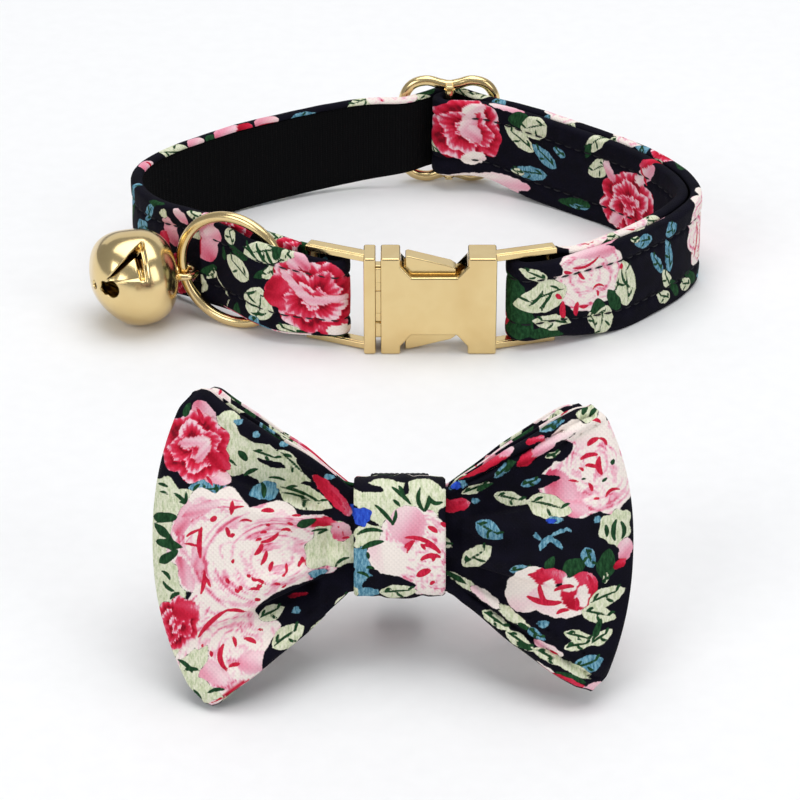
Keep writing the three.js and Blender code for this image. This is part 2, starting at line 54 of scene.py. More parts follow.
STRAP = 2.4                 # the whole strap's thickness
TAB = 1.5                   # the keeper tab's
BUCKLE_HEIGHT = 21.2
BUCKLE_DEPTH = 7.0
BUCKLE_Y = -35.3
HOUSING = {"left": -6.8, "right": 16.3, "cavity": 13.4, "wall": 1.6, "roof": 2.3}
CUT_OUT = {"left": -2.9, "right": 10.6, "slope": 2.2, "rim": 1.7, "depth": 4.2}
CROSS_BAR = {"left": -10.2, "right": -7.8}
FRAME = {"reach": 12.2, "bar_at": 10.9, "rail_depth": 3.0, "rail_height": 1.6, "bar_radius": 1.25}
FRAME_TURN = {-1: 24.0, 1: 17.0}
RING = {"radius": 11.65, "wire": 1.1, "x": -36.8, "y": -26.2, "z": 12.75, "turn": 24.5}
BELL = {"radius": 9.9, "half": 8.3, "tip": 9.2, "wall": 0.8, "z": 10.0, "turn": 14.0}
EYE = {"radius": 2.35, "wire": 0.75}
PELLET = 2.5
SLIDE = {"x": 8.0, "y": 46.4, "z": 12.7, "half": 9.9, "hump": 11.5, "waist": 10.4, "wire": 1.15,
         "bar_back": 2.6, "bar": 1.0}
BOW = {"x": -4.1, "y": -145.0, "lean": 24.0, "fold": 0.62, "knot_edge": 11.3, "draw": 5.6, "pinch": 1.15}
KNOT = {"x": 1.1, "width": 15.2, "height": 20.4, "depth": 14.4, "wall": 1.2}
ELASTIC = {"width": 10.0, "height": 20.8, "depth": 8.2, "wall": 1.0, "drop": 1.0}
BOW_WALL = 0.8
# Each bow's sizes. grid counts its points across the front, across the back, and up.
BOW_LAYERS = {
    "bow_front": {"reach": 39.3, "high": 25.4, "low": 27.0, "root": 8.4, "puff": 7.2, "slack": 2.4,
                  "level": -2.75, "spread": -3.6, "flare": -3.6, "grid": (250, 44, 150), "seed": 51},
    "bow_back": {"reach": 38.0, "high": 24.7, "low": 17.6, "root": 8.2, "puff": 2.4, "slack": 5.0,
                 "level": 2.75, "spread": 3.6, "flare": 4.4, "grid": (120, 80, 84), "seed": 63},
}
# The strap's route in plan: x, y, the height of its middle, and half its width.
STRAP_ROUTE = [
    (-23.2, -29.6, 11.2, 9.2), (-30.0, -26.3, 11.6, 9.8), (-38.0, -21.3, 11.8, 10.0),
    (-46.0, -15.2, 11.4, 10.0), (-52.4, -9.0, 10.4, 10.0), (-56.8, -2.0, 10.0, 10.0),
    (-58.3, 5.0, 10.0, 10.0), (-56.9, 11.8, 10.0, 10.0), (-52.9, 18.0, 10.0, 10.0),
    (-46.6, 24.4, 10.0, 10.0), (-38.0, 30.9, 10.2, 10.0), (-25.0, 38.1, 10.6, 10.0),
    (-12.0, 42.4, 11.6, 9.8), (-1.8, 43.2, 12.5, 9.0), (3.0, 46.4, 12.7, 8.9), (8.0, 49.5, 12.7, 9.0),
    (13.0, 46.4, 12.7, 8.9), (17.8, 43.2, 12.4, 9.0), (28.0, 38.0, 10.6, 10.0), (37.0, 31.4, 10.0, 10.0),
    (46.0, 23.2, 10.0, 10.0), (53.2, 14.0, 10.0, 10.0), (57.6, 4.6, 10.0, 10.0), (58.5, -4.2, 10.0, 10.0),
    (54.6, -12.6, 10.0, 10.0), (48.4, -20.2, 10.0, 10.0), (41.0, -27.4, 10.1, 10.0),
    (33.4, -32.0, 10.4, 9.2), (28.6, -34.3, 10.6, 8.5),
]
RETURN_OFFSET = STRAP + 0.5 # how far inside the route the return runs
RETURN_FROM = 27            # the route's row where the return begins
RETURN_TO = 17              # and the row where it ends

# ---- frame ----

housing_low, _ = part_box("buckle_housing")
SHIFT = np.array(housing_low) * 1000 - (HOUSING["left"], BUCKLE_Y - BUCKLE_DEPTH / 2, 0)


def to_row(points):
    """The row's metres, from the collar's own millimetres."""
    return (np.asarray(points, float) + SHIFT) / 1000


def from_row(points):
    """The collar's own millimetres again, from the row's metres."""
    return np.asarray(points, float) * 1000 - SHIFT


def turned(points, degrees):
    """The points turned round Z."""
    angle = math.radians(degrees)
    x, y, z = np.moveaxis(np.asarray(points, float), -1, 0)
    c, s = math.cos(angle), math.sin(angle)
    return np.stack([x * c - y * s, x * s + y * c, z], -1)


# ---- meshes ----

SHARP = 30                  # degrees between two faces from which their edge is bevelled


def grid_quads(rows, columns, close_rows=False, close_columns=False):
    """The quads of a grid of points, which may close on itself either way."""
    r = np.arange(rows if close_rows else rows - 1)
    c = np.arange(columns if close_columns else columns - 1)
    r, c = np.meshgrid(r, c, indexing="ij")
    r2, c2 = (r + 1) % rows, (c + 1) % columns
    corners = [r * columns + c, r2 * columns + c, r2 * columns + c2, r * columns + c2]
    return np.stack([k.ravel() for k in corners], -1)


def build(name, points, faces):
    """A smooth-shaded mesh object from points in the collar's frame."""
    mesh = bpy.data.meshes.new(name)
    mesh.from_pydata(to_row(points).tolist(), [], [list(map(int, face)) for face in faces])
    mesh.validate()
    made = bpy.data.objects.new(name, mesh)
    bpy.context.collection.objects.link(made)
    outward(mesh)
    mesh.polygons.foreach_set("use_smooth", [True] * len(mesh.polygons))
    return made


def outward(mesh):
    work = bmesh.new()
    work.from_mesh(mesh)
    if work.calc_volume(signed=True) < 0:
        bmesh.ops.reverse_faces(work, faces=work.faces)
    work.to_mesh(mesh)
    work.free()


def attribute(piece, name, kind, values):
    """Stores a value for each point: four numbers for FLOAT_COLOR, three for FLOAT_VECTOR."""
    made = piece.data.attributes.new(name, kind, "POINT")
    field = "color" if kind == "FLOAT_COLOR" else "vector"
    made.data.foreach_set(field, np.asarray(values, np.float32).ravel())


def store_cloth(piece, u, v):
    """Stores where each point is on the flat cloth, in millimetres."""
    attribute(piece, "cloth", "FLOAT_VECTOR", np.stack([u, v, 0 * u], -1))


def joined(name, pieces):
    """One object made of several."""
    bpy.ops.object.select_all(action="DESELECT")
    for piece in pieces:
        piece.select_set(True)
    bpy.context.view_layer.objects.active = pieces[0]
    bpy.ops.object.join()
    whole = bpy.context.view_layer.objects.active
    whole.name = name
    whole.data.name = name
    return whole


def applied(piece):
    """The piece with its modifiers made part of its mesh."""
    bpy.context.view_layer.update()
    mesh = bpy.data.meshes.new_from_object(piece.evaluated_get(bpy.context.evaluated_depsgraph_get()))
    piece.modifiers.clear()
    piece.data = mesh
    return piece


def bevelled(piece, width, segments=3):
    """The piece with its sharp edges rounded."""
    bevel = piece.modifiers.new("bevel", "BEVEL")
    bevel.width = width / 1000
    bevel.segments = segments
    bevel.limit_method = "ANGLE"
    bevel.angle_limit = math.radians(SHARP)
    bevel.harden_normals = True
    return applied(piece)


def prism_faces(count):
    """A prism's faces: its two ends, each with count corners, and its sides."""
    ends = [tuple(range(count)), tuple(range(count, 2 * count))[::-1]]
    return ends + [(k, k + count, (k + 1) % count + count, (k + 1) % count) for k in range(count)]


def cut(piece, cutters):
    """The piece with the cutters taken out of it."""
    for cutter in cutters:
        boolean = piece.modifiers.new("cut", "BOOLEAN")
        boolean.operation = "DIFFERENCE"
        boolean.solver = "EXACT"
        boolean.object = cutter
    applied(piece)
    for cutter in cutters:
        bpy.data.objects.remove(cutter)
    return piece


def catmull_rom(rows, samples):
    """Centripetal Catmull-Rom points through rows, spaced by x, y and z. samples are counted in rows."""
    rows = np.asarray(rows, float)
    padded = np.vstack([2 * rows[0] - rows[1], rows, 2 * rows[-1] - rows[-2]])
    index = np.minimum(np.floor(samples).astype(int), len(rows) - 2)
    w = (samples - index)[:, None]
    p = [padded[index + k] for k in range(4)]
    d = [np.maximum(np.linalg.norm((p[k + 1] - p[k])[:, :3], axis=1), 1e-4)[:, None] ** 0.5 for k in range(3)]
    t1 = ((p[1] - p[0]) / d[0] - (p[2] - p[0]) / (d[0] + d[1]) + (p[2] - p[1]) / d[1]) * d[1]
    t2 = ((p[2] - p[1]) / d[1] - (p[3] - p[1]) / (d[1] + d[2]) + (p[3] - p[2]) / d[2]) * d[1]
    a = 2 * p[1] - 2 * p[2] + t1 + t2
    b = -3 * p[1] + 3 * p[2] - 2 * t1 - t2
    return a * w ** 3 + b * w ** 2 + t1 * w + p[1]


def tube(points, radius, sides, closed):
    """A round wire along points, with a frame carried along without twist."""
    points = np.asarray(points, float)
    if closed:
        tangents = np.roll(points, -1, 0) - np.roll(points, 1, 0)
    else:
        tangents = np.gradient(points, axis=0)
    tangents /= np.linalg.norm(tangents, axis=1)[:, None]
    spoke = np.cross(tangents[0], (0.3, 0.9, 0.2))
    rings = []
    for point, tangent in zip(points, tangents):
        spoke = spoke - tangent * spoke.dot(tangent)
        spoke /= np.linalg.norm(spoke)
        other = np.cross(tangent, spoke)
        angle = np.linspace(0, 2 * np.pi, sides, endpoint=False)[:, None]
        rings.append(point + radius * (np.cos(angle) * spoke + np.sin(angle) * other))
    rings = np.array(rings)
    faces = [tuple(f) for f in grid_quads(len(rings), sides, closed, True)]
    if not closed:
        faces.append(tuple(range(sides))[::-1])
        faces.append(tuple(range((len(rings) - 1) * sides, len(rings) * sides)))
    return rings.reshape(-1, 3), faces


# ---- the printed cloth ----

FINEST_RED = 0.45                   # the narrowest red stroke that a red_share leaves, in mm
BOW_RED_SHARE = 0.74                # of the charted widths of the bow's red strokes
BLOB_RAG = 0.12                     # how ragged a blob's edge is
ROSE_LOBES = 6
ROSE_WASH = 0.15                    # how far a crimson rose is washed out
SHAPES = ("pale", "stroke", "blue", "rose", "red", "royal")
PRINT_FIELDS = (*SHAPES, "night", "tone", "crimson")
PRINT_CHANNELS = {"print_a": ("pale", "stroke", "blue", "rose"),
                  "print_b": ("tone", "red", "crimson", "royal")}


def others(*names):
    """The painted shapes apart from the named ones."""
    return [shape for shape in SHAPES if shape not in names]


def smooth(low, high, value):
    """A smooth step from 0 where value is low to 1 where it is high."""
    t = np.clip((value - low) / (high - low), 0, 1)
    return t * t * (3 - 2 * t)


class Print:
    """The floral print on one piece, as fields over its points. u and v are millimetres on the cloth.

    The fields in SHAPES are distances inside a painted shape, and night, which is bare navy cloth, only
    clears them. tone runs from a petal's shaded root at 0 to its rim at 1, and crimson says how far a
    rose is red instead of pink.
    """

    def __init__(self, u, v):
        self.u, self.v = np.ravel(u), np.ravel(v)
        self.fields = {name: np.full(self.u.size, -9.0) for name in PRINT_FIELDS}
        self.fields["tone"][:] = 0.5
        self.fields["crimson"][:] = 0.0

    def near(self, u, v, reach):
        """The points within reach of u and v."""
        return np.nonzero((abs(self.u - u) < reach) & (abs(self.v - v) < reach))[0]

    def local(self, at, u, v, turn):
        """The points' places from u, v, along and across a turn in degrees."""
        angle = math.radians(turn)
        du, dv = self.u[at] - u, self.v[at] - v
        return du * math.cos(angle) + dv * math.sin(angle), dv * math.cos(angle) - du * math.sin(angle)

    def paint(self, name, at, inside, over=()):
        """Adds a shape to one field and clears it from the fields that it is painted over."""
        field = self.fields[name]
        field[at] = np.maximum(field[at], inside)
        for other in over:
            self.fields[other][at] = np.minimum(self.fields[other][at], -inside)

    def tint(self, at, mine, tone, crimson):
        """Sets tone and crimson at those of the points that are mine."""
        for name, value in (("tone", tone), ("crimson", crimson)):
            self.fields[name][at] = np.where(mine, value, self.fields[name][at])

    def line(self, name, points, width, tip=0.3, over=()):
        """A brush stroke through points, widest at its middle."""
        points = np.asarray(points, float)
        middle = points.mean(0)
        reach = np.abs(points - middle).max() + width + 0.6
        at = self.near(*middle, reach)
        if not at.size:
            return
        best = np.full(at.size, -9.0)
        spans = len(points) - 1
        for k in range(spans):
            a, b = points[k], points[k + 1]
            along = b - a
            du, dv = self.u[at] - a[0], self.v[at] - a[1]
            t = np.clip((du * along[0] + dv * along[1]) / max(along.dot(along), 1e-6), 0, 1)
            whole = (k + t) / spans
            thick = width / 2 * (tip + (1 - tip) * np.sin(np.pi * whole) ** 0.7)
            best = np.maximum(best, thick - np.hypot(du - t * along[0], dv - t * along[1]))
        self.paint(name, at, best, over)

    def curve(self, name, start, end, bow, width, over=(), tip=0.3):
        """A stroke from start to end that bends sideways by bow."""
        start, end = np.asarray(start, float), np.asarray(end, float)
        t = np.linspace(0, 1, 6)[:, None]
        side = np.array([start[1] - end[1], end[0] - start[0]])
        side /= max(np.linalg.norm(side), 1e-6)
        self.line(name, start + (end - start) * t + side * bow * 4 * t * (1 - t), width, tip, over)

    def blob(self, name, u, v, long, wide, turn=0):
        """A ragged oval."""
        at = self.near(u, v, max(long, wide) * 0.75 + 1)
        if not at.size:
            return
        a, b = self.local(at, u, v, turn)
        angle = np.arctan2(b / wide, a / long)
        edge = 1 + BLOB_RAG * np.sin(3 * angle + u) + 0.6 * BLOB_RAG * np.sin(7 * angle + v)
        inside = (edge - np.hypot(2 * a / long, 2 * b / wide)) * min(long, wide) / 2
        self.paint(name, at, inside, others(name, "royal"))

    def leaf(self, name, u, v, long, wide, turn, veins=3, weight=0.54):
        """A pointed leaf with a midrib and brushed side veins. Its stalk end is at turn + 180 degrees."""
        at = self.near(u, v, long * 0.6 + 1)
        if not at.size:
            return
        a, b = self.local(at, u, v, turn)
        t = np.clip(2 * a / long, -1, 1)
        half = wide / 2 * (1 - t * t) ** 0.72 * (1 - 0.22 * t) + 0.07 * np.sin(2.3 * a + v)
        inside = np.minimum(half - abs(b), long / 2 - abs(a))
        self.paint(name, at, inside, others(name))
        if name == "stroke" or not veins:
            return
        c, s = math.cos(math.radians(turn)), math.sin(math.radians(turn))

        def place(x, y):
            return (u + x * c - y * s, v + x * s + y * c)

        stalk, tip = place(-long * 0.46, 0), place(long * 0.3, wide * 0.04)
        self.curve("stroke", stalk, tip, wide * 0.05, weight * 0.8)
        for k in range(veins):
            x = long * (-0.3 + 0.6 * k / max(veins - 1, 1))
            side = 1 if k != 1 else -1
            room = wide / 2 * (1 - (2 * x / long) ** 2) ** 0.7
            self.curve("stroke", place(x - long * 0.05, side * room * 0.1),
                       place(x + long * 0.12, side * room * 0.86), side * 0.15, weight)

    def rose(self, u, v, long, wide, turn, crimson, seed, turns):
        """A full rose: ragged rings of petals, each shaded from its root to its rim."""
        draw = random.Random(seed)
        at = self.near(u, v, max(long, wide) * 0.62 + 1)
        if not at.size:
            return
        a, b = self.local(at, u, v, turn)
        a, b = 2 * a / long, 2 * b / wide
        angle = np.arctan2(b, a)
        reach = np.hypot(a, b)
        phase = draw.uniform(0, 6.28)
        scallop = np.abs(np.sin(ROSE_LOBES / 2 * (angle + phase))) ** 0.6
        edge = 0.9 + 0.13 * scallop + 0.04 * np.sin(9 * angle + phase)
        inside = (edge - reach) * min(long, wide) / 2
        before = self.fields["rose"][at]
        self.paint("rose", at, inside, others("rose"))
        wave = 0.10 * np.sin(5 * angle + 2 * phase) + 0.05 * np.sin(11 * angle - phase)
        across = reach / edge * turns + wave
        tone = np.full(at.size, 0.5)
        for ring in range(int(turns) + 2):
            count = 3 + ring
            offset = draw.uniform(0, 6.28)
            petal = ((angle + offset) * count / (2 * np.pi)) % 1
            arch = 0.55 * (2 * petal - 1) ** 2
            depth = across + arch - ring
            here = depth < 1.0
            which = np.floor((angle + offset) * count / (2 * np.pi)) % count
            lift = 0.16 * np.sin(which * 2.4 + ring * 1.7 + phase)
            shade = np.clip(depth, 0, 1) ** 0.75 + lift * np.clip(depth, 0, 1)
            if crimson < 0.5:
                fine = np.maximum(0, np.sin(2 * np.pi * (2.6 * across + 0.4 * ring) + 6 * wave)) ** 3
                shade = 0.44 + 0.50 * smooth(0, 0.30, depth) + lift * 0.7 - 0.22 * fine
            untouched = tone == 0.5
            tone = np.where(here & untouched, np.clip(shade, 0.01, 1), tone)
        streak = 0.10 * np.sin(26 * angle + 9 * reach + phase)
        if crimson > 0.5:
            tone = tone * (1 - ROSE_WASH * 0.35) + ROSE_WASH * 0.42
        tone = np.clip(tone + streak, 0, 1)
        mine = (inside > -0.4) & ((inside > 0) | (before < 0))
        self.tint(at, mine, tone, crimson)

    def blush(self, u, v, radius, count, seed, squash=0.8):
        """Fine pink arcs brushed round a pale rose's middle."""
        draw = random.Random(seed)
        at = self.near(u, v, radius * 1.25)
        if not at.size:
            return
        du, dv = self.u[at] - u, (self.v[at] - v) / squash
        reach, angle = np.hypot(du, dv), np.arctan2(dv, du)
        tone = self.fields["tone"][at]
        for _ in range(count):
            ring = radius * math.sqrt(draw.uniform(0.03, 1.0))
            span = draw.uniform(0.5, 1.4)
            start = draw.uniform(0, 2 * math.pi)
            width = draw.uniform(0.16, 0.34)
            along = ((angle - start) % (2 * math.pi)) / span
            away = np.abs(reach - ring - 0.35 * np.sin(3 * along + start))
            taper = np.sin(np.pi * np.clip(along, 0, 1)) ** 0.6 * (along < 1)
            tone = tone - 0.5 * smooth(width, width * 0.3, away) * taper
        self.fields["tone"][at] = np.clip(tone, 0.08, 1)

    def dashes(self, u, v, radius, count, seed, width=0.42, inner=0.2, length=1.3):
        """Short red brush dabs that follow a rose's petals round."""
        draw = random.Random(seed)
        for _ in range(count):
            angle = draw.uniform(0, 2 * math.pi)
            reach = radius * (inner + (1 - inner) * draw.random() ** 0.8)
            long = draw.uniform(0.4, 1.0) * length / 2
            start = (u + reach * math.cos(angle - long / reach), v + reach * math.sin(angle - long / reach))
            end = (u + reach * math.cos(angle + long / reach), v + reach * math.sin(angle + long / reach))
            self.curve("red", start, end, -0.12, width * draw.uniform(0.7, 1.2), tip=0.45)

    def chart(self, rows, red_share=1.0):
        """Paints charted motifs in order. Each row is a motif's name and its measures."""
        for kind, *measures in rows:
            if kind in ("pale", "blue", "dark"):
                name = "stroke" if kind == "dark" else kind
                self.leaf(name, *measures)
            elif kind in ("green", "red", "white"):
                name = {"green": "stroke", "red": "red", "white": "pale"}[kind]
                over = ("stroke", "red") if kind == "white" else ()
                u0, v0, u1, v1, bow, width = measures
                if kind == "red":
                    width = max(FINEST_RED, width * red_share)
                self.curve(name, (u0, v0), (u1, v1), bow, width, over)
            elif kind in ("patch", "sky", "spot"):
                name = {"patch": "pale", "sky": "blue", "spot": "royal"}[kind]
                self.blob(name, *measures)
            elif kind == "night":
                self.leaf("night", *measures, veins=0)
            elif kind == "petal":
                self.petal(*measures)
            elif kind == "dabs":
                self.dashes(*measures)
            else:
                u, v, long, wide, turn, seed = measures
                crimson = 1.0 if kind == "crimson" else 0.0
                self.rose(u, v, long, wide, turn, crimson, seed, turns=2.6 if crimson else 3.6)
                if not crimson:
                    self.blush(u + 0.06 * long, v, 0.5 * long, int(long * wide / 7), seed, wide / long)

    def petal(self, u, v, long, wide, turn, crimson, tone):
        """One loose petal or bud in a single shade that lightens along it."""
        at = self.near(u, v, long * 0.6 + 1)
        if not at.size:
            return
        a, b = self.local(at, u, v, turn)
        t = np.clip(2 * a / long, -1, 1)
        half = wide / 2 * (1 - t * t) ** 0.5 + 0.08 * np.sin(2.9 * a + u)
        inside = np.minimum(half - abs(b), long / 2 - abs(a))
        self.paint("rose", at, inside, others("rose"))
        shade = np.clip(tone + 0.16 * t + 0.12 * np.sin(5 * b / wide + 2 * t), 0, 1)
        self.tint(at, inside > -0.3, shade, crimson)

    def petal_line(self, points, width, crimson, tone):
        """A broad stroke of rose colour through points, measured on the royal field, which it puts back."""
        points = np.asarray(points, float)
        middle = points.mean(0)
        at = self.near(*middle, np.abs(points - middle).max() + width)
        before = self.fields["royal"].copy()
        self.line("royal", points, width, 0.3, ("stroke", "red"))
        inside = self.fields["royal"][at]
        self.fields["royal"] = before
        self.tint(at, inside > -0.25, tone + 0.1 * np.sin(3 * self.v[at]), crimson)
        self.fields["rose"][at] = np.maximum(self.fields["rose"][at], inside)

    def scatter(self, low, high, seed, free=None):
        """Fills the cloth between two corners with roses, leaves and sprigs, where free() lets it."""
        draw = random.Random(seed)
        pitch = 15.0
        row = 0
        v = low[1] - 3
        while v < high[1] + 6:
            u = low[0] + (pitch / 2 if row % 2 else 0)
            while u < high[0] + 6:
                cu, cv = u + draw.uniform(-2.5, 2.5), v + draw.uniform(-1.8, 1.8)
                kind, spin = draw.randrange(4), draw.uniform(0, 360)
                size, marks = draw.uniform(10.5, 14.5), draw.randrange(1000)
                if free is None or free(cu, cv):
                    self.cluster(cu, cv, kind, spin, size, marks)
                u += pitch
            v += pitch * 0.8
            row += 1

    def cluster(self, u, v, kind, spin, size, seed):
        """One rose with leaves round it, or for kind 0 a spray of leaves and a bud."""
        draw = random.Random(seed)
        ring = size * 0.52 if kind else 2.2
        for k in range(6 if kind else 5):
            angle = spin + k * (60 if kind else 72) + draw.uniform(-14, 14)
            du, dv = ring * math.cos(math.radians(angle)), ring * math.sin(math.radians(angle))
            name = ("pale", "stroke", "pale", "blue", "pale", "stroke")[k]
            long, wide = draw.uniform(5.0, 7.5), draw.uniform(2.4, 3.4)
            far = 1.0 + long * (0.12 if kind else 0.55) / ring
            self.leaf(name, u + du * far, v + dv * far, long, wide, angle, 4)
        if kind:
            crimson = 1.0 if kind == 1 else 0.0
            self.rose(u, v, size, size * 0.86, spin, crimson, seed, turns=2.6 if crimson else 3.4)
            if not crimson:
                self.dashes(u, v, size * 0.33, 12, seed)
        else:
            self.petal(u, v, 4.6, 3.2, spin, 0.6, 0.45)

    def store(self, piece):
        """Stores the fields on the piece, for floral_cotton() to colour."""
        for name, channels in PRINT_CHANNELS.items():
            attribute(piece, name, "FLOAT_COLOR", np.stack([self.fields[k] for k in channels], -1))
        store_cloth(piece, self.u, self.v)


# ---- materials ----

def linear(hex_colour):
    """A colour written as in a paint chart, as the linear values that a shader takes."""
    parts = [int(hex_colour[k:k + 2], 16) / 255 for k in (1, 3, 5)]
    return tuple(p / 12.92 if p <= 0.04045 else ((p + 0.055) / 1.055) ** 2.4 for p in parts) + (1.0,)


class Nodes:
    """A material's node tree, with short calls for the nodes used here."""

    def __init__(self, name):
        self.material = bpy.data.materials.new(name)
        self.material.use_nodes = True
        self.tree = self.material.node_tree
        self.tree.nodes.clear()
        self.shader = self.tree.nodes.new("ShaderNodeBsdfPrincipled")
        output = self.tree.nodes.new("ShaderNodeOutputMaterial")
        self.link(self.shader.outputs[0], output.inputs[0])

    def link(self, source, target):
        self.tree.links.new(source, target)

    def put(self, socket, value):
        """Links a node's output to the socket, or sets the socket to a fixed value."""
        if isinstance(value, bpy.types.NodeSocket):
            self.link(value, socket)
        else:
            socket.default_value = value

    def attribute(self, name):
        node = self.tree.nodes.new("ShaderNodeAttribute")
        node.attribute_name = name
        return node

    def channels(self, name):
        node = self.attribute(name)
        parts = self.tree.nodes.new("ShaderNodeSeparateColor")
        self.link(node.outputs["Color"], parts.inputs[0])
        return [*parts.outputs[:3], node.outputs["Alpha"]]

    def place(self):
        return self.tree.nodes.new("ShaderNodeTexCoord").outputs["Object"]

    def math(self, operation, a, b=0.0, c=0.0):
        node = self.tree.nodes.new("ShaderNodeMath")
        node.operation = operation
        for socket, value in zip(node.inputs, (a, b, c)):
            self.put(socket, value)
        return node.outputs[0]

    def mix(self, share, a, b, blend="MIX"):
        node = self.tree.nodes.new("ShaderNodeMix")
        node.data_type = "RGBA"
        node.blend_type = blend
        self.put(node.inputs[0], share)
        self.put(node.inputs[6], a)
        self.put(node.inputs[7], b)
        return node.outputs[2]

    def noise(self, where, scale, detail, rough=0.5):
        node = self.tree.nodes.new("ShaderNodeTexNoise")
        self.put(node.inputs["Vector"], where)
        node.inputs["Scale"].default_value = scale
        node.inputs["Detail"].default_value = detail
        node.inputs["Roughness"].default_value = rough
        return node.outputs["Fac"]

    def stretched(self, where, scale):
        node = self.tree.nodes.new("ShaderNodeMapping")
        self.put(node.inputs["Vector"], where)
        node.inputs["Scale"].default_value = scale
        return node.outputs[0]

    def spread(self, value, low, high, to_low=0.0, to_high=1.0, kind="SMOOTHSTEP"):
        """The value's range from low to high, mapped to another range."""
        node = self.tree.nodes.new("ShaderNodeMapRange")
        node.interpolation_type = kind
        for socket, number in zip(node.inputs, (value, low, high, to_low, to_high)):
            self.put(socket, number)
        return node.outputs[0]

    def ramp(self, value, stops):
        node = self.tree.nodes.new("ShaderNodeValToRGB")
        self.put(node.inputs[0], value)
        ramp = node.color_ramp
        while len(ramp.elements) < len(stops):
            ramp.elements.new(0.5)
        for element, (at, colour) in zip(ramp.elements, stops):
            element.position = at
            element.color = linear(colour)
        return node.outputs[0]

    def waves(self, where, pitch, axis):
        """Even ribs across an axis of where, from 0 to 1."""
        parts = self.tree.nodes.new("ShaderNodeSeparateXYZ")
        self.put(parts.inputs[0], where)
        phase = self.math("MULTIPLY", parts.outputs[axis], 2 * math.pi / pitch)
        return self.math("MULTIPLY_ADD", self.math("SINE", phase), 0.5, 0.5)

    def bump(self, height, depth_mm, strength):
        node = self.tree.nodes.new("ShaderNodeBump")
        node.inputs["Strength"].default_value = strength
        node.inputs["Distance"].default_value = depth_mm / 1000
        self.put(node.inputs["Height"], height)
        self.link(node.outputs[0], self.shader.inputs["Normal"])

    def finish(self, colour, rough, **fixed):
        self.put(self.shader.inputs["Base Color"], colour)
        self.put(self.shader.inputs["Roughness"], rough)
        for name, value in fixed.items():
            self.shader.inputs[name.replace("_", " ").title().replace("Ior", "IOR")].default_value = value
        return self.material


def plain_weave(nodes, where, pitch):
    """The height of a plain weave's threads, from 0 to 1."""
    warp = nodes.waves(where, pitch * 2, 0)
    weft = nodes.waves(where, pitch * 2, 1)
    over = nodes.math("MULTIPLY", nodes.math("SUBTRACT", warp, 0.5), nodes.math("SUBTRACT", weft, 0.5))
    cross = nodes.math("MULTIPLY_ADD", over, 2.0, 0.5)
    fine = nodes.math("ADD", nodes.waves(where, pitch, 0), nodes.waves(where, pitch, 1))
    return nodes.math("ADD", nodes.math("MULTIPLY", cross, 0.6), nodes.math("MULTIPLY", fine, 0.2))


def floral_cotton():
    """Cotton printed with roses and leaves on navy."""
    nodes = Nodes("floral_cotton")
    where = nodes.attribute("cloth").outputs["Vector"]
    pale, stroke, blue, rose = nodes.channels("print_a")
    tone, red, crimson, royal = nodes.channels("print_b")
    edge_noise = nodes.math("MULTIPLY_ADD", nodes.noise(where, 1.5, 3.0, 0.6), 0.5, -0.25)
    wash = nodes.noise(where, 0.35, 3.0)
    brush = nodes.noise(nodes.stretched(where, (2.4, 0.7, 1.0)), 1.0, 3.0, 0.65)

    def inside(distance, soft=0.07, ragged=1.0):
        return nodes.spread(nodes.math("MULTIPLY_ADD", edge_noise, ragged, distance), -soft, soft)

    colour = nodes.ramp(wash, ((0.3, "#06050f"), (0.7, "#0c0a1a")))
    blues = nodes.ramp(brush, ((0.3, "#2b5a70"), (0.48, "#5a90a8"), (0.62, "#8bb9c9"), (0.75, "#3d7590")))
    colour = nodes.mix(inside(blue), colour, blues)
    pales = nodes.ramp(brush, ((0.3, "#b4c096"), (0.45, "#d3d9b6"), (0.6, "#ecebd4"), (0.75, "#cdd2ad")))
    colour = nodes.mix(inside(pale), colour, pales)
    royals = nodes.ramp(brush, ((0.3, "#1c34a8"), (0.7, "#3a66dc")))
    colour = nodes.mix(inside(royal), colour, royals)
    shade = nodes.math("ADD", tone, nodes.math("MULTIPLY_ADD", brush, 0.36, -0.18))
    soft_shade = nodes.math("ADD", tone, nodes.math("MULTIPLY_ADD", brush, 0.2, -0.1))
    pinks = nodes.ramp(soft_shade, ((0.05, "#d8506f"), (0.22, "#ea93a9"), (0.42, "#f0b6c5"),
                                    (0.64, "#f5d3d8"), (0.86, "#f8ede4")))
    reds = nodes.ramp(shade, ((0.05, "#7c0b20"), (0.25, "#b2122c"), (0.5, "#d2213f"), (0.72, "#de4260"),
                              (0.84, "#ee9db2"), (0.97, "#f8d6dc")))
    colour = nodes.mix(inside(rose, 0.09), colour, nodes.mix(crimson, pinks, reds))
    dabs = nodes.ramp(brush, ((0.35, "#ba1534"), (0.65, "#dc2c4a")))
    colour = nodes.mix(inside(red, 0.06, 0.4), colour, dabs)
    greens = nodes.ramp(brush, ((0.35, "#10301a"), (0.7, "#2a5733")))
    colour = nodes.mix(inside(stroke, 0.06, 0.35), colour, greens)
    weave = plain_weave(nodes, where, 0.40)
    # Painted shade and highlight: the print a little darker between the threads and lighter on their crowns.
    weave_shade = nodes.spread(weave, 0.1, 0.9, 0.92, 1.03, "LINEAR")
    colour = nodes.mix(1.0, colour, weave_shade, "MULTIPLY")
    fuzz = nodes.noise(where, 9.0, 2.0)
    nodes.bump(nodes.math("ADD", weave, nodes.math("MULTIPLY", fuzz, 0.5)), 0.07, 0.9)
    rough = nodes.spread(fuzz, 0.2, 0.8, 0.78, 0.94, "LINEAR")
    return nodes.finish(colour, rough, specular_ior_level=0.12)


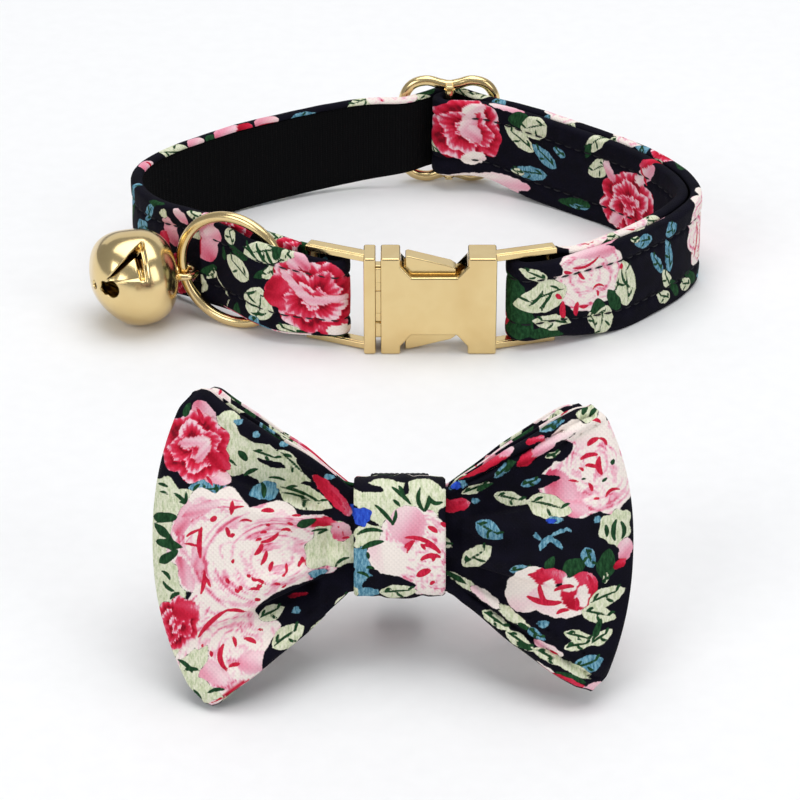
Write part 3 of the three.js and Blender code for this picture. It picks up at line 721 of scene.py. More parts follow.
def webbing():
    """Black nylon webbing: ribs across it, with fine yarns along each rib."""
    nodes = Nodes("webbing")
    where = nodes.attribute("cloth").outputs["Vector"]
    yarn = nodes.waves(where, 0.5, 1)
    cross = nodes.waves(where, 0.6, 0)
    fuzz = nodes.noise(where, 4.0, 3.0)
    height = nodes.math("ADD", nodes.math("MULTIPLY", yarn, cross), nodes.math("MULTIPLY", fuzz, 0.6))
    nodes.bump(height, 0.10, 0.9)
    # Lighter where the yarns stand high: painted highlight on the ribs and painted shade between them, with
    # random tone from the fuzz.
    colour = nodes.ramp(nodes.math("MULTIPLY_ADD", height, 0.6, 0.1), ((0.2, "#030304"), (0.9, "#101012")))
    return nodes.finish(colour, nodes.spread(fuzz, 0.3, 0.7, 0.72, 0.9), specular_ior_level=0.08)


def elastic():
    """Black knitted elastic: close ribs along its length and loose fibres."""
    nodes = Nodes("elastic")
    where = nodes.attribute("cloth").outputs["Vector"]
    rib = nodes.waves(where, 0.8, 1)
    knit = nodes.waves(where, 0.55, 0)
    fuzz = nodes.noise(where, 5.0, 3.0)
    height = nodes.math("ADD", nodes.math("MULTIPLY_ADD", knit, 0.4, rib), nodes.math("MULTIPLY", fuzz, 0.5))
    nodes.bump(height, 0.12, 0.9)
    # Lighter where the ribs stand high: painted highlight on the ribs and painted shade between them, with
    # random tone from the fuzz.
    colour = nodes.ramp(nodes.math("MULTIPLY", height, 0.5), ((0.1, "#070708"), (0.95, "#202024")))
    return nodes.finish(colour, nodes.spread(fuzz, 0.3, 0.7, 0.7, 0.9), specular_ior_level=0.25)


def thread():
    """Dark twisted sewing thread."""
    nodes = Nodes("thread")
    twist = nodes.noise(nodes.stretched(nodes.place(), (1.0, 1.0, 2.0)), 2600.0, 2.0)
    nodes.bump(twist, 0.05, 0.8)
    return nodes.finish(nodes.ramp(twist, ((0.3, "#05050c"), (0.7, "#14131f"))), 0.7)


def gold():
    """Pale gold plating over polished zinc: soft cloudiness and fine polishing lines, with painted shade in
    the bell's slots and along its folds.
    """
    nodes = Nodes("gold_metal")
    where = nodes.place()
    cloud = nodes.noise(where, 110.0, 3.0)
    lines = nodes.noise(nodes.stretched(where, (1.0, 1.0, 9.0)), 900.0, 3.0)
    colour = nodes.ramp(cloud, ((0.3, "#dec189"), (0.55, "#e6cd96"), (0.75, "#e1c58e")))
    # Painted shade: the bell's slots and folds are darkened towards dark brown, a little unevenly by the
    # cloud noise.
    painted_slot_shade = nodes.math("MULTIPLY_ADD", cloud, 0.3, nodes.attribute("slot_shade").outputs["Fac"])
    colour = nodes.mix(nodes.spread(painted_slot_shade, 0.3, 0.8), colour, (0.035, 0.014, 0.004, 1))
    rough = nodes.math("ADD", nodes.spread(cloud, 0.3, 0.7, 0.10, 0.20), nodes.math("MULTIPLY", lines, 0.05))
    nodes.bump(nodes.math("ADD", lines, nodes.math("MULTIPLY", cloud, 2.0)), 0.012, 0.35)
    return nodes.finish(colour, rough, metallic=1.0)


def steel():
    """Plain rolled steel for the bell's pellet."""
    nodes = Nodes("steel")
    scale = nodes.noise(nodes.place(), 420.0, 4.0)
    nodes.bump(scale, 0.03, 0.6)
    return nodes.finish(nodes.ramp(scale, ((0.3, "#a88f5c"), (0.7, "#d8bd80"))), 0.32, metallic=1.0)


def floor_paper():
    """Matt studio paper."""
    nodes = Nodes("floor_paper")
    grain = nodes.noise(nodes.place(), 260.0, 2.0)
    return nodes.finish(nodes.ramp(grain, ((0.3, "#f4f4f4"), (0.7, "#f6f6f6"))), 0.9, specular_ior_level=0.1)


MATERIAL_MAKERS = (floral_cotton, webbing, elastic, thread, gold, steel, floor_paper)
MATERIALS = {make.__name__: make() for make in MATERIAL_MAKERS}


def finished(piece, node, material):
    """Makes the piece stand for a CAD node and material."""
    piece.data.materials.clear()
    piece.data.materials.append(MATERIALS[material])
    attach(piece, "root")
    if node:
        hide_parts(node)
    return piece


# ---- strap and tab ----

def arc_rows(centre, radius, start, end, count, lift, half):
    """Rows of a strip's route round an arc in plan, at one height and half width."""
    angles = np.radians(np.linspace(start, end, count + 1))
    return [(centre[0] + radius * math.cos(a), centre[1] + radius * math.sin(a), lift, half) for a in angles]


def frame_bar(side):
    """A ladder frame's direction, its front, where it starts and where its bar stands, in plan."""
    turn = math.radians(FRAME_TURN[side])
    along = np.array([side * math.cos(turn), math.sin(turn)])
    front = np.array([side * math.sin(turn), -math.cos(turn)])
    start = np.array([CROSS_BAR["left"] if side < 0 else HOUSING["right"], BUCKLE_Y])
    return along, front, start, start + along * FRAME["bar_at"]


def return_rows():
    """The strap's return, inside the part of the route that it follows back."""
    rows = []
    for i in range(RETURN_FROM, RETURN_TO - 1, -1):
        before, row, after = (np.array(STRAP_ROUTE[i + k]) for k in (-1, 0, 1))
        along = after[:2] - before[:2]
        along /= np.linalg.norm(along)
        rows.append((row[0] + along[1] * RETURN_OFFSET, row[1] - along[0] * RETURN_OFFSET, row[2], row[3]))
    return rows


def strap_rows():
    """The whole strap's route: round the right frame's bar, back inside, and round the slide's bar."""
    along, front, _, bar = frame_bar(1)
    radius = FRAME["bar_radius"] + 0.3 + STRAP / 2 + 0.1
    turn = FRAME_TURN[1]
    behind = bar - front * radius
    middle_bar = (SLIDE["x"], SLIDE["y"] - SLIDE["bar_back"])
    wrap_radius = SLIDE["bar"] + 0.3 + STRAP / 2 + 0.1
    return (STRAP_ROUTE + arc_rows(bar - along * 4.6, radius, turn - 90, turn - 270, 6, 10.6, 8.6)
            + [(behind[0] + 0.8, behind[1], 10.6, 8.8)] + return_rows()
            + [(SLIDE["x"] + 3.6, middle_bar[1] - wrap_radius, SLIDE["z"], 8.8)]
            + arc_rows(middle_bar, wrap_radius, 270, 95, 6, SLIDE["z"], 8.8))


def beside_ring(along, front):
    """A place in plan: so far along the ring's plane from its middle, and so far in front of it."""
    turn = math.radians(RING["turn"])
    return (RING["x"] + along * math.cos(turn) - front * math.sin(turn),
            RING["y"] - along * math.sin(turn) - front * math.cos(turn))


def tab_rows():
    """The keeper tab's route: behind the left frame's bar, round it, and through the ring."""
    along, front, _, bar = frame_bar(-1)
    spacing = STRAP / 2 + 0.3 + TAB / 2 + 0.1
    clear = RING["wire"] + 0.3 + TAB / 2
    runs = [bar + along * distance - front * spacing for distance in (10.5, 7, 3, 0)]
    rows = [(x, y, 10.6 + (3 - i) * 0.3, 8.5) for i, (x, y) in enumerate(runs)]
    turn = FRAME_TURN[-1]
    rows += arc_rows(bar - along * 4.5, spacing, 90 - turn, -90 - turn, 6, 10.6, 8.5)
    through = [(12.4, clear + 0.1, 11.6, 9.4), (9.0, clear + 0.35, 12.0, 9.4), (5.2, clear + 0.1, 12.5, 9.2),
               (0.0, 0.0, 12.7, 9.1), (-5.2, -clear - 0.1, 12.5, 9.2), (-8.2, -clear - 0.05, 12.2, 9.6)]
    return rows + [(*beside_ring(a, f), lift, half) for a, f, lift, half in through]


class Route:
    """A strip's path: its point, outer side, height and half width at any distance along it."""

    def __init__(self, rows):
        points = catmull_rom(rows, np.linspace(0, len(rows) - 1, 40 * (len(rows) - 1) + 1))
        steps = np.linalg.norm(np.diff(points[:, :2], axis=0), axis=1)
        self.far = np.concatenate([[0], np.cumsum(steps)])
        self.points = points
        tangents = np.gradient(points[:, :2], axis=0)
        tangents /= np.linalg.norm(tangents, axis=1)[:, None]
        self.outer = np.stack([-tangents[:, 1], tangents[:, 0]], -1)
        self.length = self.far[-1]

    def value(self, far, column):
        return np.interp(far, self.far, self.points[:, column])

    def half(self, far):
        return self.value(far, 3)

    def at(self, far, across, up):
        """Points at distances along, across the strip's thickness and up its width."""
        nx, ny = (np.interp(far, self.far, self.outer[:, k]) for k in (0, 1))
        return np.stack([self.value(far, 0) + nx * across, self.value(far, 1) + ny * across,
                         self.value(far, 2) + up], -1)

    def far_at(self, x, low, high):
        """How far along the route its x is reached, between two distances."""
        span = np.linspace(low, high, 400)
        return span[np.argmin(abs(self.value(span, 0) - x))]


STITCH_SHARE = 0.56         # of half the width, from the middle to each row of stitching
STITCH_PITCH = 2.6
GROOVE = 0.5


def sewn(far, up, half):
    """How far the sewn cloth's face stands out from flat, by its stitched grooves and the padding between."""
    share = up / half
    line = np.abs(np.abs(share) - STITCH_SHARE) * half
    groove = -GROOVE * np.exp(-(line / 0.38) ** 2)
    pucker = 0.09 * np.cos(2 * np.pi * far / STITCH_PITCH) * np.exp(-(line / 1.5) ** 2)
    edge = 0.14 * np.sin(np.pi * np.clip((np.abs(share) - STITCH_SHARE) / (1 - STITCH_SHARE), 0, 1))
    middle = 0.12 * np.cos(np.pi * np.clip(share / STITCH_SHARE, -1, 1) / 2)
    wave = 0.07 * np.sin(far / 5.3 + 1.2 * np.sin(up / 3.1)) * np.cos(up / 4.7 + far / 11.0)
    wave += 0.05 * np.sin(far / 2.3 + up / 1.9)
    return groove + pucker + edge + middle + wave - 0.06


def edge_wander(far):
    """The small rise and fall of a folded edge."""
    return 0.10 * np.sin(far / 6.1) + 0.08 * np.sin(far / 2.7 + 1.0) + 0.04 * np.sin(far / 1.1)


FOLD_RISE = 0.75            # how far the cover's folded edge rises past its flat face


def folded_edge(wide, inner):
    """The cover's edge from its outer face over to inner, with a turned-in lip: across, up, cloth width."""
    angle = np.linspace(0, np.pi, 11)[None, 1:]
    radius = (STRAP / 2 - inner) / 2
    across = (STRAP / 2 + inner) / 2 + radius * np.cos(angle) + 0 * wide
    up = wide + FOLD_RISE * np.sin(angle)
    width = wide + (radius + FOLD_RISE) / 2 * angle
    lip = np.array([(0.0, -0.16, 0.2), (0.1, -0.24, 0.3), (0.25, -0.22, 0.4)])
    return (np.concatenate([across, inner + lip[None, :, 0] + 0 * wide], 1),
            np.concatenate([up, wide + lip[None, :, 1]], 1),
            np.concatenate([width, width[:, -1:] + lip[None, :, 2]], 1))


def cover_section(far, half):
    """The cover's closed section at each distance: round the webbing's top, and down to its lower edge."""
    far, half = far[:, None], half[:, None]
    wide = half - FOLD_RISE + 0.5 * edge_wander(far)
    share = np.linspace(-1, 1, 57)[None]
    face_up = share * wide
    face_across = STRAP / 2 + sewn(far, face_up, half)
    upper = folded_edge(wide, -STRAP / 2)
    lower = [part[:, ::-1] for part in folded_edge(wide, -0.1)]
    across = np.concatenate([lower[0], face_across, upper[0], 0.2 + 0 * wide, 0.2 + 0 * wide], 1)
    up = np.concatenate([-lower[1], face_up, upper[1], wide - 0.22, 0.22 - wide], 1)
    v = np.concatenate([-lower[2], face_up, upper[2], wide + 5, -wide - 5], 1)
    return across, up, v


def tab_section(far, half):
    """The tab's closed section at each distance: its face and its back, with rounded edges between them."""
    radius = TAB / 2
    far, half = far[:, None], half[:, None]
    wide = half - radius + 0.5 * edge_wander(far + 40)
    share = np.linspace(-1, 1, 51)[None]
    angle = np.linspace(0, np.pi, 9)[None, 1:-1]
    face = share * wide
    front = radius + sewn(far, face, half) * 0.9
    back = -radius - 0.5 * sewn(far + 7, face, half)
    round_across = radius * np.cos(angle) + 0 * wide
    round_up = wide + radius * np.sin(angle)
    round_v = wide + radius * angle
    far_v = 2 * wide + radius * np.pi
    across = np.concatenate([front, round_across, back[:, ::-1], -round_across], 1)
    up = np.concatenate([face, round_up, face[:, ::-1], -round_up], 1)
    v = np.concatenate([face, round_v, far_v - face[:, ::-1], far_v + round_v], 1)
    return across, up, v


def strip(name, route, section, step):
    """A closed strip along a route; gives the piece and its points' u and v."""
    count = int(route.length / step) + 1
    far = np.linspace(0, route.length, count)
    across, up, v = section(far, route.half(far))
    points = route.at(far[:, None] + 0 * up, across, up)
    columns = up.shape[1]
    faces = [tuple(f) for f in grid_quads(count, columns, False, True)]
    faces.append(tuple(range(columns)))
    faces.append(tuple(range((count - 1) * columns, count * columns))[::-1])
    piece = build(name, points.reshape(-1, 3), faces)
    return piece, (far[:, None] + 0 * v).ravel(), v.ravel()


def webbing_section(far, half):
    """The webbing's section, with a rib standing out every 1.2 mm of its length."""
    far, half = far[:, None], half[:, None]
    rib = 0.16 * np.abs(np.sin(np.pi * far / 1.2)) ** 0.7
    low, high = -half + 0.5, half - 1.35
    share = np.linspace(-1, 1, 9)[None]
    face_up = low + (high - low) * (share + 1) / 2
    face_across = -1.02 - rib + 0.14 * share ** 6 + 0.03 * np.sin(far / 3.7 + 3 * share)
    edge = np.array([[0.24, 0.30, 0.0]])
    edge_across = np.array([[-0.84, -0.4, -0.16]]) + 0 * far
    across = np.concatenate([edge_across[:, ::-1], face_across, edge_across], 1)
    up = np.concatenate([low - edge[:, ::-1], face_up, high + edge], 1)
    return across, up, up


def stitched(route, low, high, depth):
    """Sewing thread along both stitched lines: one short arched dash for each stitch."""
    points, faces = [], []
    t = np.linspace(-1, 1, 6)
    spin = np.linspace(0, 2 * np.pi, 6, endpoint=False)
    for side in (-1, 1):
        for far in np.arange(low, high, STITCH_PITCH):
            along = far + t * 0.95
            up = side * STITCH_SHARE * route.half(along)
            across = depth + 0.13 * (1 - t ** 2)
            thick = 0.19 * np.sqrt(np.clip(1.06 - t ** 2, 0.05, 1))
            a = across[:, None] + thick[:, None] * np.cos(spin)
            ring = route.at(along[:, None] + 0 * a, a, up[:, None] + thick[:, None] * np.sin(spin))
            first = len(points) * 36
            points.append(ring.reshape(-1, 3))
            faces += [tuple(int(k) + first for k in f) for f in grid_quads(6, 6, False, True)]
            faces += [tuple(range(first, first + 6))[::-1], tuple(range(first + 30, first + 36))]
    return np.concatenate(points), faces


# Charts of the print where it shows. Each row is a motif, where it is, and its measures in millimetres.
# pale, blue and dark leaves: u, v, length, width, turn. Brushed lines: from u, v to u, v, bend, width.
# patch, sky, spot and night: blobs. petal: u, v, length, width, turn, redness, tone. Roses: u, v, length,
# width, turn, seed. dabs: u, v, radius, count, seed.
RIGHT_FRONT = [
    ("dark", 20.6, -3.2, 10.0, 6.0, 80), ("dark", 20.0, 3.2, 7.0, 4.4, 60),
    ("dark", 25.5, -7.0, 9.0, 2.6, 8), ("petal", 27.5, -9.6, 14.0, 2.2, 3, 0.0, 0.45),
    ("petal", 30.0, 13.0, 9.0, 4.0, 4, 1.0, 0.5), ("petal", 37.0, 12.6, 12.0, 5.0, -4, 0.0, 0.42),
    ("pale", 45.6, 12.6, 6.0, 3.0, 10), ("petal", 51.0, 13.0, 6.0, 3.4, 0, 0.0, 0.5),
    ("pink", 34.5, 3.6, 17.0, 14.5, 10, 31), ("petal", 35.4, 9.4, 10.0, 2.8, 6, 0.0, 0.44),
    ("pale", 25.2, 1.0, 10.5, 6.6, -16), ("green", 22.6, -0.4, 25.2, 2.8, 0.3, 0.7),
    ("green", 24.4, -1.2, 27.0, 2.2, 0.3, 0.7), ("pale", 27.2, -4.8, 8.8, 3.4, 14),
    ("pale", 23.6, 6.2, 6.0, 2.4, 32), ("night", 26.6, 7.4, 6.0, 3.4, 40),
    ("night", 32.0, -7.6, 9.0, 3.6, 20), ("pale", 42.0, 0.4, 10.5, 5.4, 82),
    ("dark", 39.6, -2.6, 6.6, 2.6, 60), ("dark", 36.6, -4.2, 6.0, 4.0, 80),
    ("pale", 37.6, -7.0, 7.4, 4.4, -76), ("pale", 35.4, -6.0, 4.4, 1.8, 70),
    ("green", 39.0, -1.6, 40.4, 2.4, 0.6, 0.5), ("green", 41.0, 3.8, 43.0, -1.0, 0.7, 0.6),
    ("red", 29.2, -0.6, 29.6, -4.6, 0.3, 1.3), ("red", 32.2, -1.2, 32.0, -4.2, 0.3, 1.2),
    ("red", 32.6, -2.2, 34.4, -2.4, 0.3, 0.8), ("red", 35.0, 0.8, 37.4, 1.2, -0.8, 0.6),
    ("red", 36.2, -0.8, 36.0, 0.6, 0.2, 0.6), ("red", 31.0, 6.6, 36.4, 8.2, 1.0, 0.7),
    ("red", 32.4, 5.4, 33.4, 3.6, 0.2, 0.8), ("red", 29.2, 6.2, 31.0, 5.4, 0.2, 0.9),
    ("red", 27.8, 1.4, 28.8, 0.2, 0.1, 1.0), ("red", 41.0, 5.0, 41.0, 4.0, 0.1, 0.9),
    ("petal", 18.6, -4.6, 3.4, 2.4, 80, 1.0, 0.55), ("petal", 19.0, -9.0, 3.4, 3.0, 60, 1.0, 0.6),
    ("blue", 45.4, 8.2, 5.6, 3.0, 10), ("pale", 43.6, 9.4, 2.6, 1.4, 10),
    ("blue", 48.6, 1.8, 7.0, 2.0, 55), ("blue", 51.2, 2.0, 8.0, 2.4, 80),
    ("blue", 51.4, 7.8, 4.0, 3.4, 70), ("pale", 51.0, -3.2, 6.0, 2.4, 60),
    ("pale", 50.4, -7.0, 4.6, 2.8, 25), ("dark", 52.8, -6.2, 5.6, 2.0, 60),
]
RIGHT_BEND = [  # by distance along the strap
    ("pink", 14.0, 2.6, 17.0, 14.0, 80, 12), ("dabs", 14.0, 1.0, 5.6, 22, 5),
    ("red", 10.0, -3.0, 11.0, 5.0, 0.8, 0.7), ("red", 12.8, -4.0, 13.6, 3.6, 0.6, 0.6),
    ("dark", 9.0, -6.6, 6.0, 2.4, 40), ("pale", 6.6, -7.4, 5.0, 2.8, 20),
    ("blue", 15.0, -8.6, 6.0, 2.2, 15), ("crimson", 30.0, -1.0, 13.0, 12.0, 40, 8),
    ("pale", 22.0, 4.0, 6.0, 3.0, 70), ("pale", 22.5, -5.0, 6.5, 3.0, -60),
]
INNER_RIGHT = [
    ("petal", 14.0, -9.6, 22.0, 3.6, -3, 0.0, 0.72), ("petal", 21.0, -7.8, 13.0, 3.0, -6, 0.0, 0.6),
    ("crimson", 12.0, 2.6, 16.5, 16.0, 20, 3), ("petal", 6.8, 3.6, 3.6, 5.6, 20, 0.0, 0.5),
    ("petal", 13.6, 1.6, 4.2, 2.6, 60, 0.0, 0.4), ("petal", 13.4, 7.6, 5.4, 1.8, -15, 0.0, 0.7),
    ("petal", 13.6, -4.4, 6.0, 2.6, -10, 0.0, 0.95), ("petal", 20.8, 9.8, 9.0, 1.6, -6, 0.0, 0.5),
    ("red", 22.6, 9.0, 27.0, 8.2, 0.2, 0.8), ("dark", 23.8, 8.0, 6.0, 4.0, -20),
    ("pale", 27.0, 7.4, 7.6, 5.4, -28), ("pale", 23.8, 3.6, 8.4, 3.6, 24),
    ("blue", 29.4, 1.6, 7.6, 3.2, 28), ("blue", 32.6, 3.8, 3.6, 1.8, 20),
    ("blue", 26.2, -3.6, 9.6, 3.2, -12), ("pale", 23.6, -4.4, 3.6, 1.6, -10),
    ("dark", 36.0, -7.0, 9.0, 2.4, -8), ("blue", 37.0, -7.4, 6.0, 1.2, -8),
    ("pale", 40.0, 9.0, 7.6, 3.6, -50), ("pale", 40.8, 3.0, 6.6, 4.0, -34),
    ("dark", 38.6, 6.4, 4.4, 1.6, -70), ("crimson", 47.4, -2.2, 18.0, 14.6, -20, 14),
    ("petal", 43.0, 3.6, 5.0, 2.2, 50, 0.0, 0.4), ("petal", 50.4, 6.6, 8.6, 3.2, -42, 0.0, 0.5),
    ("petal", 44.8, -7.0, 4.0, 2.0, -30, 0.0, 0.4), ("petal", 50.6, 10.0, 7.0, 1.8, -40, 1.0, 0.5),
    ("red", 49.4, 8.0, 50.6, 4.2, 0.4, 0.8),
]
LEFT_SIDE = [  # by distance along the strap
    ("petal", 31.5, 4.4, 7.0, 3.6, 60, 0.2, 0.35), ("petal", 33.5, 1.6, 5.0, 3.0, 80, 1.0, 0.4),
    ("patch", 33.4, 8.0, 2.2, 2.0), ("petal", 28.4, 8.4, 5.0, 2.2, 30, 0.0, 0.45),
    ("pale", 24.4, 9.4, 5.0, 2.2, 10), ("blue", 38.0, 7.4, 7.2, 2.0, 125),
    ("blue", 41.6, 2.6, 5.2, 3.0, 150), ("dark", 36.0, 9.8, 5.0, 1.2, 170),
    ("blue", 46.4, 8.6, 6.0, 2.0, 95), ("blue", 44.4, -2.6, 6.0, 2.2, 60), ("sky", 49.0, 5.0, 2.2, 1.8),
    ("pale", 41.0, -6.4, 7.0, 3.2, 30), ("crimson", 30.0, -5.0, 10.0, 9.0, 10, 21),
    ("petal", 57.2, 12.0, 5.0, 3.6, 10, 0.0, 0.4), ("red", 58.2, 10.8, 58.6, 13.0, 0.1, 0.8),
    ("pale", 67.5, 12.0, 8.0, 4.6, 20), ("petal", 73.5, 12.0, 4.6, 3.2, 0, 0.1, 0.5),
    ("dark", 78.0, 12.4, 4.0, 2.4, 20), ("petal", 82.0, 12.0, 7.0, 4.0, 0, 0.0, 0.4),
    ("petal", 86.5, 12.4, 4.0, 3.0, 0, 1.0, 0.4), ("petal", 92.0, 12.0, 6.0, 3.6, 0, 0.2, 0.5),
    ("red", 90.0, 12.6, 95.0, 12.8, 0.2, 1.0), ("blue", 101.0, 12.6, 6.0, 2.2, 0),
]
TAB_FRONT = [
    ("petal", -42.0, 4.4, 8.4, 6.4, 72, 0.0, 0.32), ("petal", -42.4, 9.4, 5.6, 4.4, 40, 0.0, 0.35),
    ("petal", -40.0, 6.8, 5.0, 3.2, 10, 0.0, 0.42), ("red", -44.4, 6.0, -44.2, 1.8, 0.3, 1.1),
    ("patch", -43.6, -5.0, 2.6, 4.0), ("dark", -41.4, -1.4, 5.0, 1.8, -20),
    ("pale", -40.8, -2.6, 3.6, 1.6, -30), ("white", -40.4, -0.8, -36.9, -6.4, 0.7, 0.34),
    ("white", -36.9, -6.4, -37.6, -9.0, 0.3, 0.3), ("pale", -36.6, 8.0, 4.0, 3.6, 60),
    ("dark", -35.2, 5.2, 6.4, 2.0, 10), ("pale", -35.2, 1.8, 7.2, 5.0, 24),
    ("dark", -38.0, 3.4, 3.0, 1.2, 80), ("dark", -29.4, 3.4, 7.6, 2.0, -35),
    ("pale", -28.4, 3.8, 5.6, 2.4, -40), ("pale", -30.2, 7.6, 9.4, 5.0, -24),
    ("green", -33.2, 9.0, -31.0, 5.2, 0.2, 0.8), ("green", -31.4, 9.2, -29.2, 5.0, 0.2, 0.8),
    ("green", -29.4, 8.6, -27.6, 4.6, 0.2, 0.8), ("dark", -27.0, 9.2, 5.0, 2.4, -70),
    ("pale", -25.2, 8.4, 5.6, 2.6, -62), ("pale", -31.2, -4.0, 7.6, 6.6, 100),
    ("green", -33.8, -3.0, -31.4, -1.2, 0.3, 0.6), ("green", -33.8, -4.6, -31.0, -5.0, 0.3, 0.6),
    ("green", -32.6, -6.8, -30.4, -6.0, 0.2, 0.6), ("blue", -32.4, -8.8, 4.0, 2.2, -50),
    ("crimson", -20.4, 0.2, 18.4, 16.4, 10, 5), ("petal", -27.4, 1.0, 5.0, 3.4, 150, 1.0, 0.4),
    ("petal", -28.0, -2.0, 4.6, 3.0, 200, 1.0, 0.45), ("petal", -22.4, 8.0, 4.6, 2.4, 60, 0.0, 0.3),
    ("petal", -24.2, 6.4, 3.0, 1.6, 60, 0.0, 0.35), ("pale", -24.8, -8.4, 6.4, 2.8, 12),
    ("dark", -21.4, -8.8, 5.0, 1.6, 20), ("petal", -17.6, -7.8, 4.4, 1.8, 50, 1.0, 0.5),
    ("petal", -14.8, -7.4, 5.4, 3.0, 10, 0.0, 0.9),
]
# The pink brush stroke that curls over the tab's crimson rose.
TAB_CURL = [(-26.2, 4.6), (-24.4, 2.6), (-22.6, 0.6), (-20.6, -0.8), (-18.4, -0.4), (-16.2, 0.4),
            (-14.2, 0.4)]


def moved(rows, across):
    """The chart's rows with each u changed by across(u)."""
    made = []
    for kind, *measures in rows:
        measures[0] = across(measures[0])
        if kind in ("green", "red", "white"):
            measures[2] = across(measures[2])
        made.append((kind, *measures))
    return made


def make_strap():
    route = Route(strap_rows())
    cover, u, v = strip("strap_cover_cloth", route, cover_section, 0.40)
    cloth = Print(u, v)
    front = (route.far_at(58.4, 190, 260), route.far_at(19.6, 250, 330))
    fold = front[1]
    turn_back = (route.far_at(55.0, fold + 20, route.length - 60), route.length - 12)
    # The stretches of the strap that have a chart: from, to, and the height from which it covers them.
    charted = [(20, 52, -20), (52, 105, 4), (front[0] - 20, fold + 9, -20),
               (turn_back[0] - 4, route.length, -20)]
    cloth.scatter((0, -13), (route.length, 13), 7,
                  lambda a, b: not any(p < a < q and b > above for p, q, above in charted))
    cloth.chart(LEFT_SIDE)
    cloth.chart(moved(RIGHT_BEND, lambda a: front[0] + 14 - a))
    cloth.chart(moved(RIGHT_FRONT, lambda a: route.far_at(a, *front)))
    cloth.chart(moved(INNER_RIGHT, lambda a: route.far_at(a, *turn_back)))
    cloth.store(cover)
    finished(cover, "strap_cover", "floral_cotton")
    lining, u, v = strip("strap_webbing_ribs", route, webbing_section, 0.24)
    store_cloth(lining, u, v)
    finished(lining, "strap_webbing", "webbing")
    outside = build("strap_stitches", *stitched(route, 12, route.length - 12, STRAP / 2 - GROOVE - 0.02))
    finished(outside, None, "thread")


def make_tab():
    route = Route(tab_rows())
    tab, u, v = strip("keeper_tab_cloth", route, tab_section, 0.34)
    cloth = Print(u, v)
    cloth.scatter((0, -12), (route.length, 40), 19, lambda a, b: a < 14 or abs(b) > 14)
    cloth.chart(moved(TAB_FRONT, lambda a: route.far_at(a, 17, route.length)))
    curl = [(route.far_at(a, 17, route.length), b) for a, b in TAB_CURL]
    cloth.petal_line(curl, 1.5, 0.0, 0.45)
    cloth.store(tab)
    finished(tab, "keeper_tab", "floral_cotton")
    thread_run = build("keeper_tab_stitches", *stitched(route, 3, route.length - 3, TAB / 2 - GROOVE - 0.02))
    finished(thread_run, None, "thread")


# ---- buckle ----

def mirrored(upper):
    """The whole outline from its upper half."""
    return upper + [(x, -z) for x, z in reversed(upper)]


def plate(name, outline, depth):
    """An outline drawn in X and Z, given its depth along Y round the buckle's middle."""
    points = [(x, BUCKLE_Y + end * depth / 2, BUCKLE_HEIGHT / 2 + z) for end in (-1, 1) for x, z in outline]
    return build(name, points, prism_faces(len(outline)))


def block(name, x, y, z):
    """A plain block between two values each of x, y and z."""
    outline = [(x[0], y[0]), (x[1], y[0]), (x[1], y[1]), (x[0], y[1])]
    points = [(a, b, c) for c in z for a, b in outline]
    return build(name, points, prism_faces(4))


def ladder(side):
    """One ladder frame: two flat rails with a raised lip, and the bar that the strap folds over."""
    along, front, start, bar = frame_bar(side)
    parts = []
    for end in (-1, 1):
        middle = BUCKLE_HEIGHT / 2 + end * (BUCKLE_HEIGHT - FRAME["rail_height"] - 0.2) / 2
        for low, high, deep, tall in ((-1.0, FRAME["reach"], FRAME["rail_depth"], FRAME["rail_height"] - 0.3),
                                      (-0.6, FRAME["reach"] - 0.7, FRAME["rail_depth"] - 0.9,
                                       FRAME["rail_height"])):
            corners = [start + along * a + front * b for a, b in
                       ((low, -deep / 2), (high, -deep / 2), (high, deep / 2), (low, deep / 2))]
            points = [(*corner, middle + k * tall / 2) for k in (-1, 1) for corner in corners]
            parts.append(bevelled(build("rail", points, prism_faces(4)), 0.22))
    half = (BUCKLE_HEIGHT - 1) / 2
    post = [(*bar, BUCKLE_HEIGHT / 2 + k * half) for k in np.linspace(-1, 1, 5)]
    parts.append(build("post", *tube(post, FRAME["bar_radius"], 40, False)))
    return parts


def make_housing():
    top = BUCKLE_HEIGHT / 2
    floor = top - CUT_OUT["depth"]
    body = plate("body", mirrored([
        (HOUSING["left"], top), (CUT_OUT["left"], top), (CUT_OUT["left"], top - CUT_OUT["rim"]),
        (CUT_OUT["left"] + CUT_OUT["slope"], floor), (CUT_OUT["right"] - CUT_OUT["slope"], floor),
        (CUT_OUT["right"], top - CUT_OUT["rim"]), (CUT_OUT["right"], top), (HOUSING["right"], top),
    ]), BUCKLE_DEPTH)
    reach = BUCKLE_DEPTH / 2 - HOUSING["wall"]
    cavity = block("cavity", (HOUSING["left"] - 1, HOUSING["cavity"]), (BUCKLE_Y - reach, BUCKLE_Y + reach),
                   (HOUSING["roof"], BUCKLE_HEIGHT - HOUSING["roof"]))
    body = bevelled(cut(body, [cavity]), 0.42, 4)
    whole = joined("buckle_housing_metal", [body, *ladder(1)])
    return finished(whole, "buckle_housing", "gold")


# The upper lever's outline in X and Z, from the buckle's middle.
LEVER = [(-8.6, 4.4), (-8.6, 7.6), (-2.6, 7.6), (-1.9, 8.3), (-1.9, 10.2), (-1.3, 10.35), (7.2, 8.1),
         (8.2, 7.4), (8.2, 5.2)]


